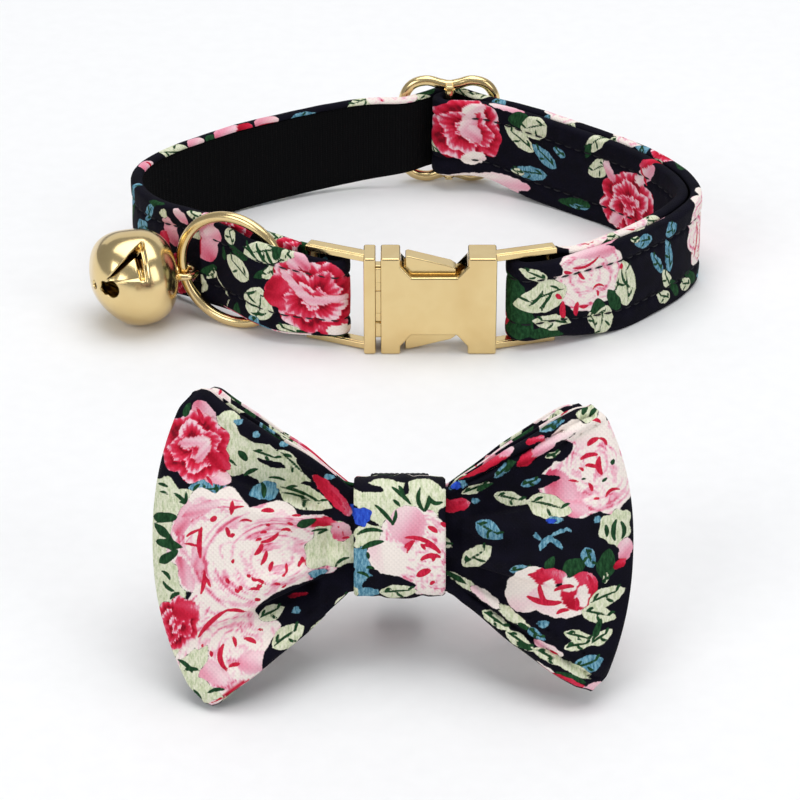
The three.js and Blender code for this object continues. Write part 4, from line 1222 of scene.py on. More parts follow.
def make_insert():
    top = BUCKLE_HEIGHT / 2
    bar = bevelled(plate("bar", mirrored([(CROSS_BAR["left"], top), (CROSS_BAR["right"], top)]),
                         BUCKLE_DEPTH), 0.42, 4)
    tongue = bevelled(plate("tongue", mirrored([(-8.6, 2.6), (12.4, 2.6)]), 2.6), 0.3)
    throat = bevelled(plate("throat", mirrored([(-8.6, 8.0), (-4.6, 8.0)]), 2.2), 0.2)
    levers = []
    for end in (-1, 1):
        outline = [(x, end * z) for x, z in LEVER]
        levers.append(bevelled(plate("lever", outline, 3.4), 0.22))
    return finished(joined("buckle_insert_metal", [bar, tongue, throat, *levers, *ladder(-1)]),
                    "buckle_insert", "gold")


# ---- ring, bell and slide ----

def circle(radius, count):
    """The two coordinates of evenly spaced points round a circle."""
    angle = np.radians(360.0 * np.arange(count) / count)
    return radius * np.cos(angle), radius * np.sin(angle)


def make_ring():
    across, up = circle(RING["radius"], 128)
    path = turned(np.stack([across, 0 * across, up], -1), -RING["turn"]) + (RING["x"], RING["y"], RING["z"])
    ring = build("leash_ring_wire", *tube(path, RING["wire"], 28, True))
    return finished(ring, "leash_ring", "gold")


def bell_place():
    """Where the bell's middle is in plan, with its eye on the ring's left side."""
    drop = RING["z"] - 9.75
    eye = beside_ring(-math.sqrt(RING["radius"] ** 2 - drop ** 2), 0)
    turn = math.radians(BELL["turn"])
    arm = BELL["half"] + EYE["radius"] - EYE["wire"]
    return eye[0] - arm * math.cos(turn), eye[1] - arm * math.sin(turn)


# A folded leaf of the bell. start and long are along the bell; top and bottom are its edges at its start,
# in degrees round the bell, and the turns are how far each edge goes round by its end.
LEAF = {"start": -7.1, "long": 8.3, "top": 153, "top_turn": -44, "bottom": 157, "bottom_turn": 3}


def bell_leaf(along, spin):
    """How far along its leaf a point is, the leaf's edges there, and the point in degrees round the bell.

    The same leaf comes twice, half a turn apart.
    """
    s = (along - LEAF["start"]) / LEAF["long"]
    top = LEAF["top"] + LEAF["top_turn"] * s
    bottom = LEAF["bottom"] + LEAF["bottom_turn"] * s
    return s, top, bottom, np.degrees(spin) % 180


def leaf_share(top, bottom, degrees):
    """How far across its leaf a point is, from 0 at the top edge to 1 at the bottom one."""
    return (degrees - top) / np.maximum(bottom - top, 1)


def bell_dent(along, spin):
    """How deep the shell is folded in where its leaves meet: a tilted facet that widens from each hole."""
    s, top, bottom, degrees = bell_leaf(along, spin)
    share = leaf_share(top, bottom, degrees)
    across = smooth(-0.04, 0.04, share) * smooth(1.05, 0.9, share)
    facet = 1.3 - 0.95 * np.clip(share, 0, 1) + 1.2 * smooth(0.17, 0.12, share)
    fold = np.maximum(0, 1 - np.abs(s - 0.80 - 0.06 * share) / 0.075)
    ridge = -0.7 * np.maximum(0, 1 - np.abs(s - 0.93) / 0.05)
    dent = (facet * smooth(0.0, 0.22, s) + fold + ridge) * across
    return dent * smooth(0.0, 0.1, s) * smooth(1.02, 0.97, s)


def bell_slot_shade(along, spin):
    """Painted shade where the shell's leaves meet: 1 in the shaded slot beside each facet, up to 0.8 along
    the fold across each facet, and 0 on the open shell.
    """
    s, top, bottom, degrees = bell_leaf(along, spin)
    share = leaf_share(top, bottom, degrees)
    # The shadow inside each slot, painted as colour.
    slot = smooth(-0.06, 0.0, share) * smooth(0.22, 0.14, share)
    slot = slot * smooth(0.0, 0.06, s) * smooth(0.86, 0.78, s)
    # The shade in the crease of each facet's fold, painted as colour.
    fold = 0.8 * smooth(0.07, 0.03, np.abs(s - 0.80 - 0.06 * share))
    fold = fold * smooth(0.0, 0.1, share) * smooth(0.8, 0.5, share)
    return np.maximum(slot, fold)


def bell_clearance(along, spin):
    """How far the shell's inner face keeps in where the outer one is folded, so that they never meet."""
    s, top, bottom, degrees = bell_leaf(along, spin)
    beyond = np.maximum(top - degrees, degrees - bottom)
    return 3.0 * smooth(12, 3, beyond) * smooth(-0.25, -0.05, s) * smooth(1.25, 1.06, s)


def bell_shell(offset, dent, rings=110, sides=288):
    """One face of the bell's shell: squarish in profile, drawn out a little at its slotted end."""
    angle = np.radians(np.linspace(90, -90, rings))[:, None]
    spin = np.linspace(0, 2 * np.pi, sides, endpoint=False)[None]
    long = np.where(angle > 0, BELL["half"], BELL["tip"])
    along = np.sin(angle) * (long - offset) + 0 * spin
    power = np.where(angle > 0, 2.5, 2.35 + 0.6 * np.cos(spin - np.radians(62)))
    round_ = (1 - np.abs(np.sin(angle)) ** power) ** (1 / power) * (BELL["radius"] - offset)
    outer = smooth(0.25, 1.0, -np.sin(angle))
    facet = np.abs(np.cos(2 * spin + 0.5))
    round_ = round_ * (1 + 0.03 * outer * (1 - facet) - 0.035 * outer * facet ** 6)
    round_ = np.maximum(round_ - dent(along, spin), 0.02)
    return np.stack([along, round_ * np.cos(spin), round_ * np.sin(spin)], -1)


def bell_hole(place, along, reach, spin, radius, aim):
    """A round cutter through the shell at one place, along aim in the bell's own frame."""
    spin = math.radians(spin)
    middle = np.array([along, reach * math.cos(spin), reach * math.sin(spin)])
    aim = np.array([aim[0], aim[1] * math.cos(spin), aim[1] * math.sin(spin)])
    path = [middle + aim / np.linalg.norm(aim) * k for k in (-3, 0, 3)]
    return build("hole", *tube(turned(path, BELL["turn"]) + place, radius, 32, False))


# The holes' cutters, each for both leaves: along, reach, degrees round the bell, radius and aim.
BELL_HOLES = [(-6.3, 7.6, 169, 1.8, (-0.65, 0.75)), (-7.5, 6.2, 168, 1.5, (-0.8, 0.6)),
              (-9.0, 2.8, 166, 1.0, (-1.0, 0.2))]


def store_slot_shade(shell, place):
    """Stores the painted shade where the bell's leaves meet, for gold() to darken the slots and folds with.
    """
    local = np.empty(3 * len(shell.data.vertices))
    shell.data.vertices.foreach_get("co", local)
    local = turned(from_row(local.reshape(-1, 3)) - place, -BELL["turn"])
    slot_shade = bell_slot_shade(local[:, 0], np.arctan2(local[:, 2], local[:, 1]) % (2 * np.pi))
    attribute(shell, "slot_shade", "FLOAT_VECTOR", np.stack([slot_shade, slot_shade, slot_shade], -1))


def bell_body(place):
    """The bell's hollow shell with its holes."""
    outer = bell_shell(0.0, bell_dent)
    inner = bell_shell(BELL["wall"], bell_clearance)[::-1]
    rings = np.concatenate([outer, inner])
    faces = grid_quads(len(rings), rings.shape[1], True, True)
    shell = build("shell", turned(rings.reshape(-1, 3), BELL["turn"]) + place, faces)
    shell = cut(shell, [bell_hole(place, along, reach, spin + half_turn, radius, aim)
                        for along, reach, spin, radius, aim in BELL_HOLES for half_turn in (0, 180)])
    store_slot_shade(shell, place)
    return shell


def make_bell():
    place = (*bell_place(), BELL["z"])
    shell = bell_body(place)
    a, b = circle(EYE["radius"], 56)
    middle = BELL["half"] + EYE["radius"] - EYE["wire"]
    eye = build("eye", *tube(turned(np.stack([a + middle, b, 0 * a], -1), BELL["turn"]) + place,
                             EYE["wire"], 20, True))
    solder = [(BELL["half"] - 0.7, 0, 0), (BELL["half"] - 0.1, 0, 0), (BELL["half"] + 0.5, 0, 0)]
    collar = build("solder", *tube(turned(solder, BELL["turn"]) + place, 1.5, 28, False))
    bell = joined("bell_shell", [shell, eye, bevelled(collar, 0.45, 4)])
    finished(bell, "bell", "gold")


def make_pellet():
    x, y = bell_place()
    a, b = np.meshgrid(np.radians(np.linspace(0, 180, 25)), np.linspace(0, 2 * np.pi, 40, endpoint=False),
                       indexing="ij")
    radius = PELLET * (1 - 0.012 * np.cos(6 * b) * np.sin(a))
    ball = np.stack([radius * np.sin(a) * np.cos(b), radius * np.sin(a) * np.sin(b), radius * np.cos(a)], -1)
    centre = (x, y, BELL["z"] - BELL["radius"] + BELL["wall"] + PELLET + 0.3)
    pellet = build("bell_pellet_steel", ball.reshape(-1, 3) + centre, grid_quads(25, 40, False, True))
    work = bmesh.new()
    work.from_mesh(pellet.data)
    bmesh.ops.remove_doubles(work, verts=work.verts, dist=1e-6)
    work.to_mesh(pellet.data)
    work.free()
    finished(pellet, "bell_pellet", "steel")


def make_slide():
    half, hump, waist = SLIDE["half"], SLIDE["hump"], SLIDE["waist"]
    quarter = [(half, 3.5), (half, 8), (half * 0.82, hump - 0.9), (half * 0.5, hump),
               (half * 0.2, waist + 0.35)]
    top = quarter + [(0, waist)] + [(-x, z) for x, z in reversed(quarter)]
    outline = np.array([(x, 0, z, 0) for x, z in top + [(-x, -z) for x, z in top]])
    wrapped = np.vstack([outline[-3:], outline, outline[:4]])
    path = catmull_rom(wrapped, 3 + np.linspace(0, len(outline), 300, endpoint=False))[:, :3]
    centre = (SLIDE["x"], SLIDE["y"], SLIDE["z"])
    wire = build("wire", *tube(path + centre, SLIDE["wire"], 24, True))
    ends = waist - 0.4
    bar = [(0, -SLIDE["bar_back"], k * (ends + 0.5)) for k in np.linspace(-1, 1, 5)]
    parts = [wire, bevelled(build("bar", *tube(np.array(bar) + centre, SLIDE["bar"], 28, False)), 0.2)]
    for end in (-1, 1):
        low, high = sorted((end * (waist - 0.65), end * (waist + 0.85)))
        foot = block("foot", (SLIDE["x"] - 0.9, SLIDE["x"] + 0.9),
                     (SLIDE["y"] - SLIDE["bar_back"] - 0.5, SLIDE["y"] + 0.5),
                     (SLIDE["z"] + low, SLIDE["z"] + high))
        parts.append(bevelled(foot, 0.35, 4))
    return finished(joined("slide_wire", parts), "slide", "gold")


# ---- bow tie ----

def bow_point(layer, angle, v):
    """The CAD's middle surface of a bow. angle runs round the loop, v from its lower to its upper edge."""
    lateral = -np.cos(angle)
    left_low = (lateral < 0) & (v < 0)
    right = smooth(0.0, 0.5, lateral)
    corner = smooth(0.86, 1.0, np.abs(v))
    reach = layer["reach"] - np.where(left_low, 7.4, BOW["draw"]) * np.abs(v) ** 2.2 - 1.1 * corner ** 2
    x = np.sign(lateral) * np.abs(lateral) ** BOW["fold"] * reach
    out = np.maximum(0, (np.abs(x) - BOW["knot_edge"]) / (reach - BOW["knot_edge"]))
    end = np.where(v < 0, layer["low"] - 0.9 * right, layer["high"] - 1.3 * right)
    end = end - 1.0 * smooth(0.86, 1.0, out)
    from_knot = np.abs(x - KNOT["x"]) - KNOT["width"] / 2 - 0.6
    share = np.maximum(0, from_knot) / (reach - KNOT["width"] / 2 - 0.6)
    rise = layer["root"] + (end - layer["root"]) * np.clip(share, 0, 1) ** 0.92
    belly = (1 - 0.45 * v * v) * np.abs(np.sin(np.pi * out * 0.86)) ** 0.8
    crease = 2.3 * np.cos(2 * np.pi * v) * out * (1 - out)
    depth = BOW["pinch"] + np.where(np.sin(angle) > 0, layer["puff"] * belly + crease, layer["slack"] * belly)
    pleat = 0.55 * np.cos(3 * np.pi * v) * np.clip(1 - out, 0, 1) ** 1.5
    flare = np.where(v < 0, layer["flare"] * v * v * out ** 1.5, 0)
    sheet = np.sign(np.sin(angle)) * np.abs(np.sin(angle)) ** 0.7
    y = layer["level"] + layer["spread"] * out ** 0.7 - sheet * depth + pleat + flare
    return np.stack([x, y, v * rise], -1), out


def valley(v, at, width):
    """1 at one place up the cloth, falling to 0 on both sides."""
    return np.exp(-((v - at) / width) ** 2)


def rolls(v, bounds, height):
    """Folded edges stacked one behind another: a rounded step between each pair of bounds."""
    shape = 0 * v
    for k in range(len(bounds) - 1):
        low, high = bounds[k], bounds[k + 1]
        s = np.clip((v - low) / np.maximum(high - low, 1e-3), 0, 1)
        step = height * (1.15 * (4 * s * (1 - s)) ** 0.5 - 0.45 * (k + 1))
        shape = np.where((v > low) & (v <= high), step, shape)
    return shape


def folds(x, out, v):
    """How far the front bow's face stands forward of the CAD's, by its pinched creases and stacked edges."""
    right = x > 0
    long = np.where(right, 0.5, 0.62)
    near_knot = np.exp(-(out / long) ** 2) * smooth(-0.02, 0.16, out)
    crease_up = np.where(right, 0.34, 0.42 + 0.16 * out)
    crease_down = np.where(right, -0.34, -0.50 - 0.1 * out)
    above = np.clip((v - crease_up) / (1 - crease_up), 0, 1)
    below = np.clip((crease_down - v) / (1 + crease_down), 0, 1)
    flaps = smooth(0, 0.09, above) * (1 - above) ** 1.1 + smooth(0, 0.09, below) * (1 - below) ** 1.1
    depth = -np.where(right, 3.4, 5.6) * near_knot * flaps
    ridge = 1.8 * near_knot * (valley(v, crease_up - 0.16, 0.11) + valley(v, crease_down + 0.16, 0.11))
    fade = smooth(0.0, 0.10, out) * smooth(1.03, 0.88, out)
    one, two = 0.76 + 0.13 * out, 0.89 + 0.06 * out
    top_right = rolls(v, [one, two, 1.001 + 0 * v], 1.9)
    low_one, low_two = 0.62 + 0.22 * out, 0.81 + 0.11 * out
    low_right = rolls(-v, [low_one, low_two, 1.001 + 0 * v], 1.7)
    top_left = rolls(v, [0.86 + 0.06 * out, 1.001 + 0 * v], 1.0)
    low_left = rolls(-v, [0.82 + 0.08 * out, 1.001 + 0 * v], 1.1)
    stacked = np.where(right, top_right + low_right, top_left + low_left) * fade
    drape = 0.45 * np.sin(3.1 * v + 5.0 * out + np.where(right, 0.8, 2.2)) * smooth(0.1, 0.5, out)
    drape += 0.2 * np.sin(9.0 * out - 4.0 * v + np.where(right, 2.0, 0.4)) * smooth(0.2, 0.6, out)
    return depth + ridge + stacked + drape


def bow_to_row(points, drop):
    """From the bow's own frame to the collar's: leant back, and stood on its lower corners."""
    x, y, z = np.moveaxis(np.asarray(points, float), -1, 0)
    lean = math.radians(BOW["lean"])
    return np.stack([x + BOW["x"], y * math.cos(lean) + z * math.sin(lean) + BOW["y"],
                     z * math.cos(lean) - y * math.sin(lean) + drop], -1)


def bow_drop():
    """How high the middle of the knot, where the bow's own frame starts, stands."""
    low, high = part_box("bow_knot")
    return (low[2] + high[2]) * 500 - SHIFT[2]


PRINT_STRETCH = 1.047       # millimetres on the bow's and the knot's charts for each one up the bow
PRINT_RISE = 0.35           # how high the middle of the knot is on those charts


def bow_loop_piece(name, layer, drop, detailed):
    """One bow's cloth: the piece, its points' u and v, and which of them are on the face."""
    front_columns, back_columns, rows = layer["grid"]
    front = np.pi * (np.arange(front_columns) + 0.5) / front_columns
    back = np.pi + np.pi * (np.arange(back_columns) + 0.5) / back_columns
    angle = np.concatenate([front, back])[:, None]
    v = np.linspace(-1, 1, rows)[None]
    points, out = bow_point(layer, angle, v)
    nudge = 1e-3
    ahead = bow_point(layer, angle + nudge, v)[0] - bow_point(layer, angle - nudge, v)[0]
    normal = np.stack([ahead[..., 1], -ahead[..., 0], 0 * ahead[..., 0]], -1)
    normal /= np.linalg.norm(normal, axis=-1)[..., None]
    x = points[..., 0]
    if detailed:
        points[..., 1] -= folds(x, out, v + 0 * out) * smooth(0.0, 0.25, np.sin(angle))
    else:
        points[..., 1] += 0.35 * np.sin(6.0 * v + 4.0 * out) * smooth(0.1, 0.5, out) * np.sign(np.sin(angle))
    points[..., 2] += 0.16 * np.sin(x / 2.9) * v ** 3 + 0.1 * np.sin(x / 1.3) * v ** 5
    outer, inner = points + normal * BOW_WALL / 2, points - normal * BOW_WALL / 2
    lip = 0.3 * BOW_WALL * np.array([0, 0, 1])
    ring = np.concatenate([outer, points[:, -1:] + lip, inner[:, ::-1], points[:, :1] - lip], 1)
    columns = ring.shape[1]
    piece = build(name, bow_to_row(ring.reshape(-1, 3), drop), grid_quads(len(ring), columns, True, True))
    face = (np.sin(angle) > 0) & (np.arange(columns)[None] < rows + 1)
    return piece, ring[..., 0], ring[..., 2] * PRINT_STRETCH + PRINT_RISE, face


BOW_CHART = [
    # left wing, upper half
    ("patch", -25.0, 17.0, 13.0, 9.0, -40), ("patch", -19.5, 12.4, 12.0, 5.6, -20),
    ("night", -22.4, 19.4, 7.0, 3.2, -30), ("night", -16.0, 17.0, 11.0, 3.2, -38),
    ("night", -19.6, 14.0, 5.6, 1.6, -20), ("night", -24.0, 9.6, 9.0, 2.6, -6),
    ("pale", -16.2, 13.4, 8.0, 2.6, -50), ("pale", -20.6, 15.4, 5.6, 1.7, -22),
    ("pale", -14.6, 7.8, 10.0, 3.6, -24), ("night", -12.8, 11.4, 9.0, 2.2, -48),
    ("green", -28.4, 20.6, -28.0, 16.4, 0.3, 0.7), ("green", -28.6, 20.0, -26.8, 19.0, 0.2, 0.6),
    ("green", -25.2, 16.2, -24.0, 14.6, 0.1, 1.2), ("green", -24.4, 11.9, -22.2, 13.0, 0.2, 0.8),
    ("green", -29.4, 16.8, -25.6, 13.6, 0.2, 0.6), ("green", -20.6, 11.4, -17.6, 10.6, 0.3, 0.5),
    ("green", -18.6, 8.6, -13.6, 6.8, 0.3, 0.4), ("green", -17.0, 9.4, -12.0, 6.2, 0.3, 0.35),
    ("sky", -22.3, 19.2, 1.2, 1.2), ("sky", -17.8, 17.4, 1.6, 1.0), ("sky", -25.2, 21.4, 1.6, 1.0),
    ("sky", -10.6, 11.2, 1.8, 1.0), ("spot", -6.2, 5.4, 2.6, 2.2),
    ("petal", -10.0, 8.0, 9.6, 2.4, -49, 1.0, 0.55), ("red", -11.6, 9.6, -8.0, 5.4, 0.3, 0.9),
    ("blue", -30.0, 9.6, 7.4, 4.0, 5), ("sky", -21.0, 9.3, 4.4, 2.8),
    ("green", -31.0, 10.8, -30.4, 8.2, 0.2, 0.6), ("green", -29.0, 11.0, -28.8, 8.2, 0.2, 0.5),
    ("green", -27.2, 11.0, -27.0, 8.4, 0.2, 0.6), ("green", -21.6, 10.6, -21.0, 8.2, 0.1, 0.8),
    ("petal", -30.8, 22.2, 6.0, 3.6, -60, 0.0, 0.4), ("petal", -29.4, 12.2, 6.4, 2.6, -20, 0.0, 0.4),
    ("crimson", -32.4, 17.0, 11.4, 11.8, 20, 4), ("petal", -28.4, 14.4, 4.4, 2.0, -35, 1.0, 0.45),
    ("petal", -32.6, 17.8, 4.8, 1.1, 10, 0.0, 0.45), ("petal", -31.0, 16.2, 3.8, 1.0, 60, 0.0, 0.45),
    ("red", -32.2, 23.6, -31.0, 20.8, 0.2, 1.0), ("red", -30.6, 12.2, -29.4, 10.4, 0.1, 0.7),
    ("dark", -33.8, 23.2, 2.6, 1.2, 70),
    # left edge
    ("patch", -37.0, 3.6, 10.0, 17.0), ("patch", -37.6, -6.4, 9.0, 12.0),
    ("patch", -32.6, -21.6, 11.0, 12.0, -30), ("pink", -29.4, 0.8, 19.0, 14.5, 80, 12),
    ("pink", -29.6, -12.4, 12.0, 10.0, 10, 5), ("green", -38.6, 10.4, -36.8, 10.0, 0.2, 0.6),
    ("green", -38.2, 9.2, -36.8, 8.8, 0.1, 0.5), ("green", -35.8, 9.0, -33.9, 7.4, 0.2, 0.7),
    ("green", -33.8, 9.4, -33.9, 7.2, 0.1, 0.6), ("green", -34.9, 7.6, -33.8, 7.3, 0.1, 0.5),
    ("dark", -37.3, 4.8, 4.4, 1.8, 5), ("dark", -37.6, 2.2, 4.4, 1.4, -40),
    ("dark", -36.6, 0.2, 4.8, 1.6, -8), ("dark", -36.8, -2.0, 4.0, 1.6, 35),
    ("green", -38.0, -4.6, -36.6, -6.0, 0.3, 0.7), ("green", -37.8, -6.4, -35.8, -8.0, -0.3, 0.7),
    ("green", -36.6, -9.4, -34.8, -8.2, 0.3, 0.7),
    # two large roses
    ("pink", -21.4, -2.6, 25.5, 19.6, 8, 17), ("petal", -34.2, 4.8, 6.0, 2.0, 70, 0.0, 0.34),
    ("petal", -34.0, -4.8, 6.0, 1.8, -70, 0.0, 0.34), ("petal", -31.4, 6.4, 6.0, 1.4, 24, 0.0, 0.4),
    ("petal", -32.0, -1.4, 5.0, 1.2, 80, 0.0, 0.4), ("red", -26.2, 8.0, -26.4, 5.6, 0.1, 1.1),
    ("red", -28.9, 5.2, -29.7, 4.6, 0.1, 1.3), ("red", -26.8, 6.4, -24.2, 7.0, 0.2, 0.6),
    ("red", -21.4, 6.2, -19.4, 6.0, 0.2, 1.1), ("red", -25.0, 4.4, -22.8, 4.2, 0.4, 0.6),
    ("red", -27.2, 3.4, -26.8, 1.8, 0.1, 1.0), ("red", -31.2, 3.4, -31.4, -2.0, -0.3, 1.2),
    ("red", -33.8, 1.6, -31.4, 3.0, 0.2, 0.7), ("red", -34.2, 0.4, -31.8, 0.0, 0.2, 0.7),
    ("red", -30.8, -4.0, -31.4, -8.2, 0.2, 1.0), ("red", -30.8, -5.0, -29.8, -7.0, 0.1, 0.8),
    ("red", -22.6, -1.4, -21.4, 0.6, -0.3, 1.2), ("red", -21.6, 0.8, -18.6, 2.4, -0.5, 1.0),
    ("red", -18.4, 2.6, -16.6, 2.2, 0.4, 0.8), ("red", -20.6, -0.6, -21.6, -3.2, 0.2, 1.0),
    ("red", -19.6, -2.6, -20.0, -4.4, -0.2, 1.0), ("red", -17.6, -3.0, -17.4, -4.6, 0.1, 0.7),
    ("red", -15.2, -2.2, -14.4, -3.6, 0.1, 1.0), ("red", -22.4, -5.6, -20.8, -6.4, 0.2, 0.8),
    ("red", -23.4, -7.2, -21.6, -7.4, 0.2, 0.8), ("red", -19.4, -6.4, -18.4, -6.6, 0.1, 0.8),
    ("red", -25.0, -6.6, -24.8, -7.4, 0.1, 0.9), ("dabs", -20.8, -2.2, 7.4, 16, 3, 0.6, 0.45, 1.0),
    ("pink", -26.8, -18.2, 18.0, 14.4, 20, 23), ("petal", -30.4, -21.6, 7.4, 3.4, -20, 0.0, 0.42),
    ("petal", -22.6, -19.8, 5.4, 3.4, 10, 0.0, 0.5), ("red", -32.0, -16.0, -27.0, -10.8, 0.5, 1.1),
    ("red", -27.4, -11.0, -24.0, -11.4, 0.3, 0.9), ("red", -27.8, -17.0, -27.2, -21.4, -0.9, 1.3),
    ("red", -27.0, -20.8, -24.8, -20.2, 0.2, 0.9), ("red", -24.4, -16.0, -22.4, -16.8, 0.2, 1.1),
    ("red", -26.4, -15.6, -25.8, -17.4, 0.2, 0.9), ("red", -31.4, -17.2, -31.0, -18.0, 0.1, 0.9),
    ("red", -30.0, -18.2, -29.8, -19.2, 0.1, 0.9), ("red", -22.2, -14.6, -21.4, -14.8, 0.1, 0.7),
    ("red", -21.8, -12.4, -21.0, -12.8, 0.1, 0.7), ("crimson", -35.6, -13.6, 7.4, 9.6, -20, 9),
    ("petal", -34.0, -11.2, 4.4, 3.0, 20, 1.0, 0.55),
    # left wing, toward the knot
    ("patch", -9.8, -0.8, 9.6, 8.0), ("petal", -11.4, 3.4, 4.4, 1.4, -6, 1.0, 0.5),
    ("petal", -8.6, 1.6, 3.6, 3.4, 40, 0.0, 0.3), ("dark", -14.2, 3.7, 3.2, 1.6, 14),
    ("green", -13.6, 2.0, -10.6, 1.8, 0.3, 0.5), ("green", -12.6, 1.2, -11.0, 1.8, 0.2, 0.5),
    ("red", -9.4, 2.8, -8.6, 0.4, 0.5, 0.6), ("red", -8.6, 0.2, -6.8, 0.2, 0.4, 0.6),
    ("red", -17.4, 4.0, -16.2, 3.4, 0.1, 0.7), ("red", -16.6, 5.2, -15.0, 5.0, 0.1, 0.6),
    ("green", -9.6, -4.6, -7.2, -2.8, 0.5, 0.6), ("sky", -12.4, -5.4, 3.0, 1.8),
    ("night", -13.0, -9.6, 20.0, 6.4, 12), ("night", -10.0, -7.2, 11.0, 3.4, 8),
    ("petal", -15.8, -9.4, 3.6, 0.7, 6, 1.0, 0.2), ("sky", -16.0, -11.8, 1.4, 1.2),
    ("night", -15.0, -17.2, 16.0, 8.0, 40), ("pale", -20.0, -12.0, 4.4, 2.6, 20),
    ("pale", -17.2, -15.8, 6.0, 3.6, 32), ("night", -19.0, -19.6, 5.0, 3.0, 30),
    ("pale", -8.4, -10.6, 4.6, 1.7, 50), ("pale", -12.2, -14.6, 4.6, 1.7, 42),
    ("patch", -33.0, -21.0, 3.6, 8.0, -30), ("patch", -30.6, -25.4, 6.6, 3.6, -30),
    ("green", -35.4, -20.0, -33.0, -22.0, 0.3, 0.8), ("green", -34.4, -21.8, -31.8, -21.6, 0.3, 0.7),
    ("green", -32.8, -25.0, -31.6, -27.0, 0.2, 0.8), ("green", -30.4, -25.4, -27.4, -24.6, 0.4, 0.7),
    ("petal", -24.2, -24.4, 7.6, 1.9, 24, 1.0, 0.5), ("petal", -28.8, -27.2, 4.0, 1.6, 20, 0.0, 0.7),
    ("red", -29.8, -27.0, -27.0, -26.0, 0.2, 0.6), ("sky", -20.2, -21.6, 1.8, 1.2),
    # right wing, its stacked upper edges
    ("petal", 11.0, 12.6, 7.0, 1.7, 26, 1.0, 0.5), ("petal", 15.2, 15.6, 6.0, 1.5, 30, 0.0, 0.35),
    ("sky", 10.8, 9.8, 3.0, 1.4, 20), ("spot", 10.4, 9.7, 1.8, 1.4), ("blue", 24.6, 19.9, 4.6, 1.4, 32),
    ("petal", 22.6, 18.2, 3.6, 1.3, 26, 1.0, 0.55), ("petal", 22.0, 15.6, 5.0, 1.8, 42, 1.0, 0.55),
    ("petal", 24.6, 17.6, 4.6, 1.8, 34, 0.0, 0.35), ("patch", 28.0, 20.2, 5.6, 2.4, 28),
    ("green", 30.6, 22.6, 32.6, 23.8, 0.2, 1.0), ("green", 29.6, 21.0, 31.4, 22.2, 0.2, 0.8),
    ("blue", 18.2, 13.0, 4.4, 1.5, 46), ("dark", 19.4, 14.0, 3.0, 1.1, 46),
    ("pale", 13.8, 9.4, 5.4, 1.6, 24), ("dark", 15.4, 9.9, 2.6, 0.8, 24),
    ("petal", 10.4, 6.2, 5.0, 2.2, 14, 1.0, 0.5), ("red", 8.4, 7.6, 12.0, 7.0, -0.9, 1.1),
    ("sky", 13.6, 7.1, 1.4, 1.0), ("green", 24.8, 14.6, 26.8, 15.6, 0.2, 0.6),
    # right wing, its open face
    ("pink", 31.6, 13.6, 16.5, 18.5, 60, 41), ("petal", 32.4, 20.0, 7.0, 4.6, 60, 0.0, 0.95),
    ("petal", 27.6, 9.4, 8.0, 4.4, -60, 0.0, 0.28), ("petal", 28.4, 6.4, 6.4, 2.6, 0, 0.0, 0.26),
    ("red", 31.8, 17.2, 33.6, 18.4, 0.2, 1.3), ("red", 33.6, 18.4, 35.0, 17.2, 0.4, 0.8),
    ("red", 32.4, 21.6, 34.0, 21.0, 0.3, 0.9), ("red", 30.6, 14.8, 33.6, 15.6, 0.4, 1.1),
    ("red", 33.8, 15.2, 34.2, 12.2, -0.4, 1.4), ("red", 31.4, 13.8, 33.4, 13.4, 0.2, 1.0),
    ("red", 30.4, 13.4, 31.2, 12.8, 0.1, 0.7), ("red", 28.6, 11.2, 30.4, 11.0, 0.1, 0.5),
    ("red", 32.0, 10.8, 32.6, 9.4, 0.1, 0.9), ("red", 34.8, 8.4, 37.2, 9.6, 0.6, 0.8),
    ("red", 32.8, 8.1, 33.8, 8.1, 0.1, 0.7), ("dark", 31.2, 11.5, 1.0, 0.5, 0),
    ("dark", 34.6, 11.3, 1.2, 0.6, 40), ("dark", 36.0, 14.3, 1.0, 0.6, 70),
    ("night", 26.0, 19.3, 16.0, 4.8, 34), ("night", 27.4, 16.4, 4.6, 3.4, 30),
    ("night", 23.0, 13.8, 9.0, 4.0, 28), ("petal", 14.9, 13.6, 11.0, 1.8, 30, 1.0, 0.45),
    ("petal", 18.6, 16.2, 2.6, 1.2, 24, 0.0, 0.4), ("petal", 22.0, 15.0, 4.4, 2.0, 40, 1.0, 0.45),
    ("petal", 24.9, 17.2, 4.8, 1.9, 38, 0.0, 0.44), ("petal", 28.4, 19.9, 6.0, 2.2, 34, 0.0, 0.85),
    ("petal", 23.2, 18.2, 3.4, 1.0, 22, 1.0, 0.6), ("blue", 26.0, 20.6, 4.6, 1.2, 25),
    ("patch", 32.2, 22.7, 4.6, 2.4, 28), ("green", 31.0, 22.4, 32.0, 23.6, 0.2, 0.8),
    ("green", 32.2, 22.0, 33.6, 23.4, 0.2, 0.8), ("pale", 26.2, 15.7, 2.8, 0.9, 24),
    ("night", 23.0, 10.8, 9.0, 2.6, 12), ("blue", 22.6, 10.8, 3.4, 1.4, 20),
    ("night", 29.4, 4.2, 8.0, 1.8, -4), ("pale", 19.4, 7.8, 5.6, 2.4, -10),
    ("pale", 25.6, 6.8, 7.4, 4.0, -12), ("sky", 26.4, 4.7, 2.6, 1.2), ("spot", 25.8, 4.5, 1.6, 0.8),
    ("sky", 33.6, 4.6, 1.6, 1.2), ("blue", 15.8, 2.5, 5.0, 3.2, -28), ("pale", 13.8, -2.2, 6.2, 3.2, 40),
    ("pale", 8.6, -0.2, 3.0, 1.6, -40), ("patch", 36.6, 2.8, 5.4, 6.8),
    ("green", 34.8, 3.6, 35.0, 1.6, 0.1, 0.8), ("green", 36.6, 4.4, 36.4, 0.8, -0.4, 0.9),
    ("green", 37.4, 4.0, 37.6, 1.0, 0.5, 0.8), ("petal", 38.2, -0.8, 4.0, 2.6, 80, 0.0, 0.4),
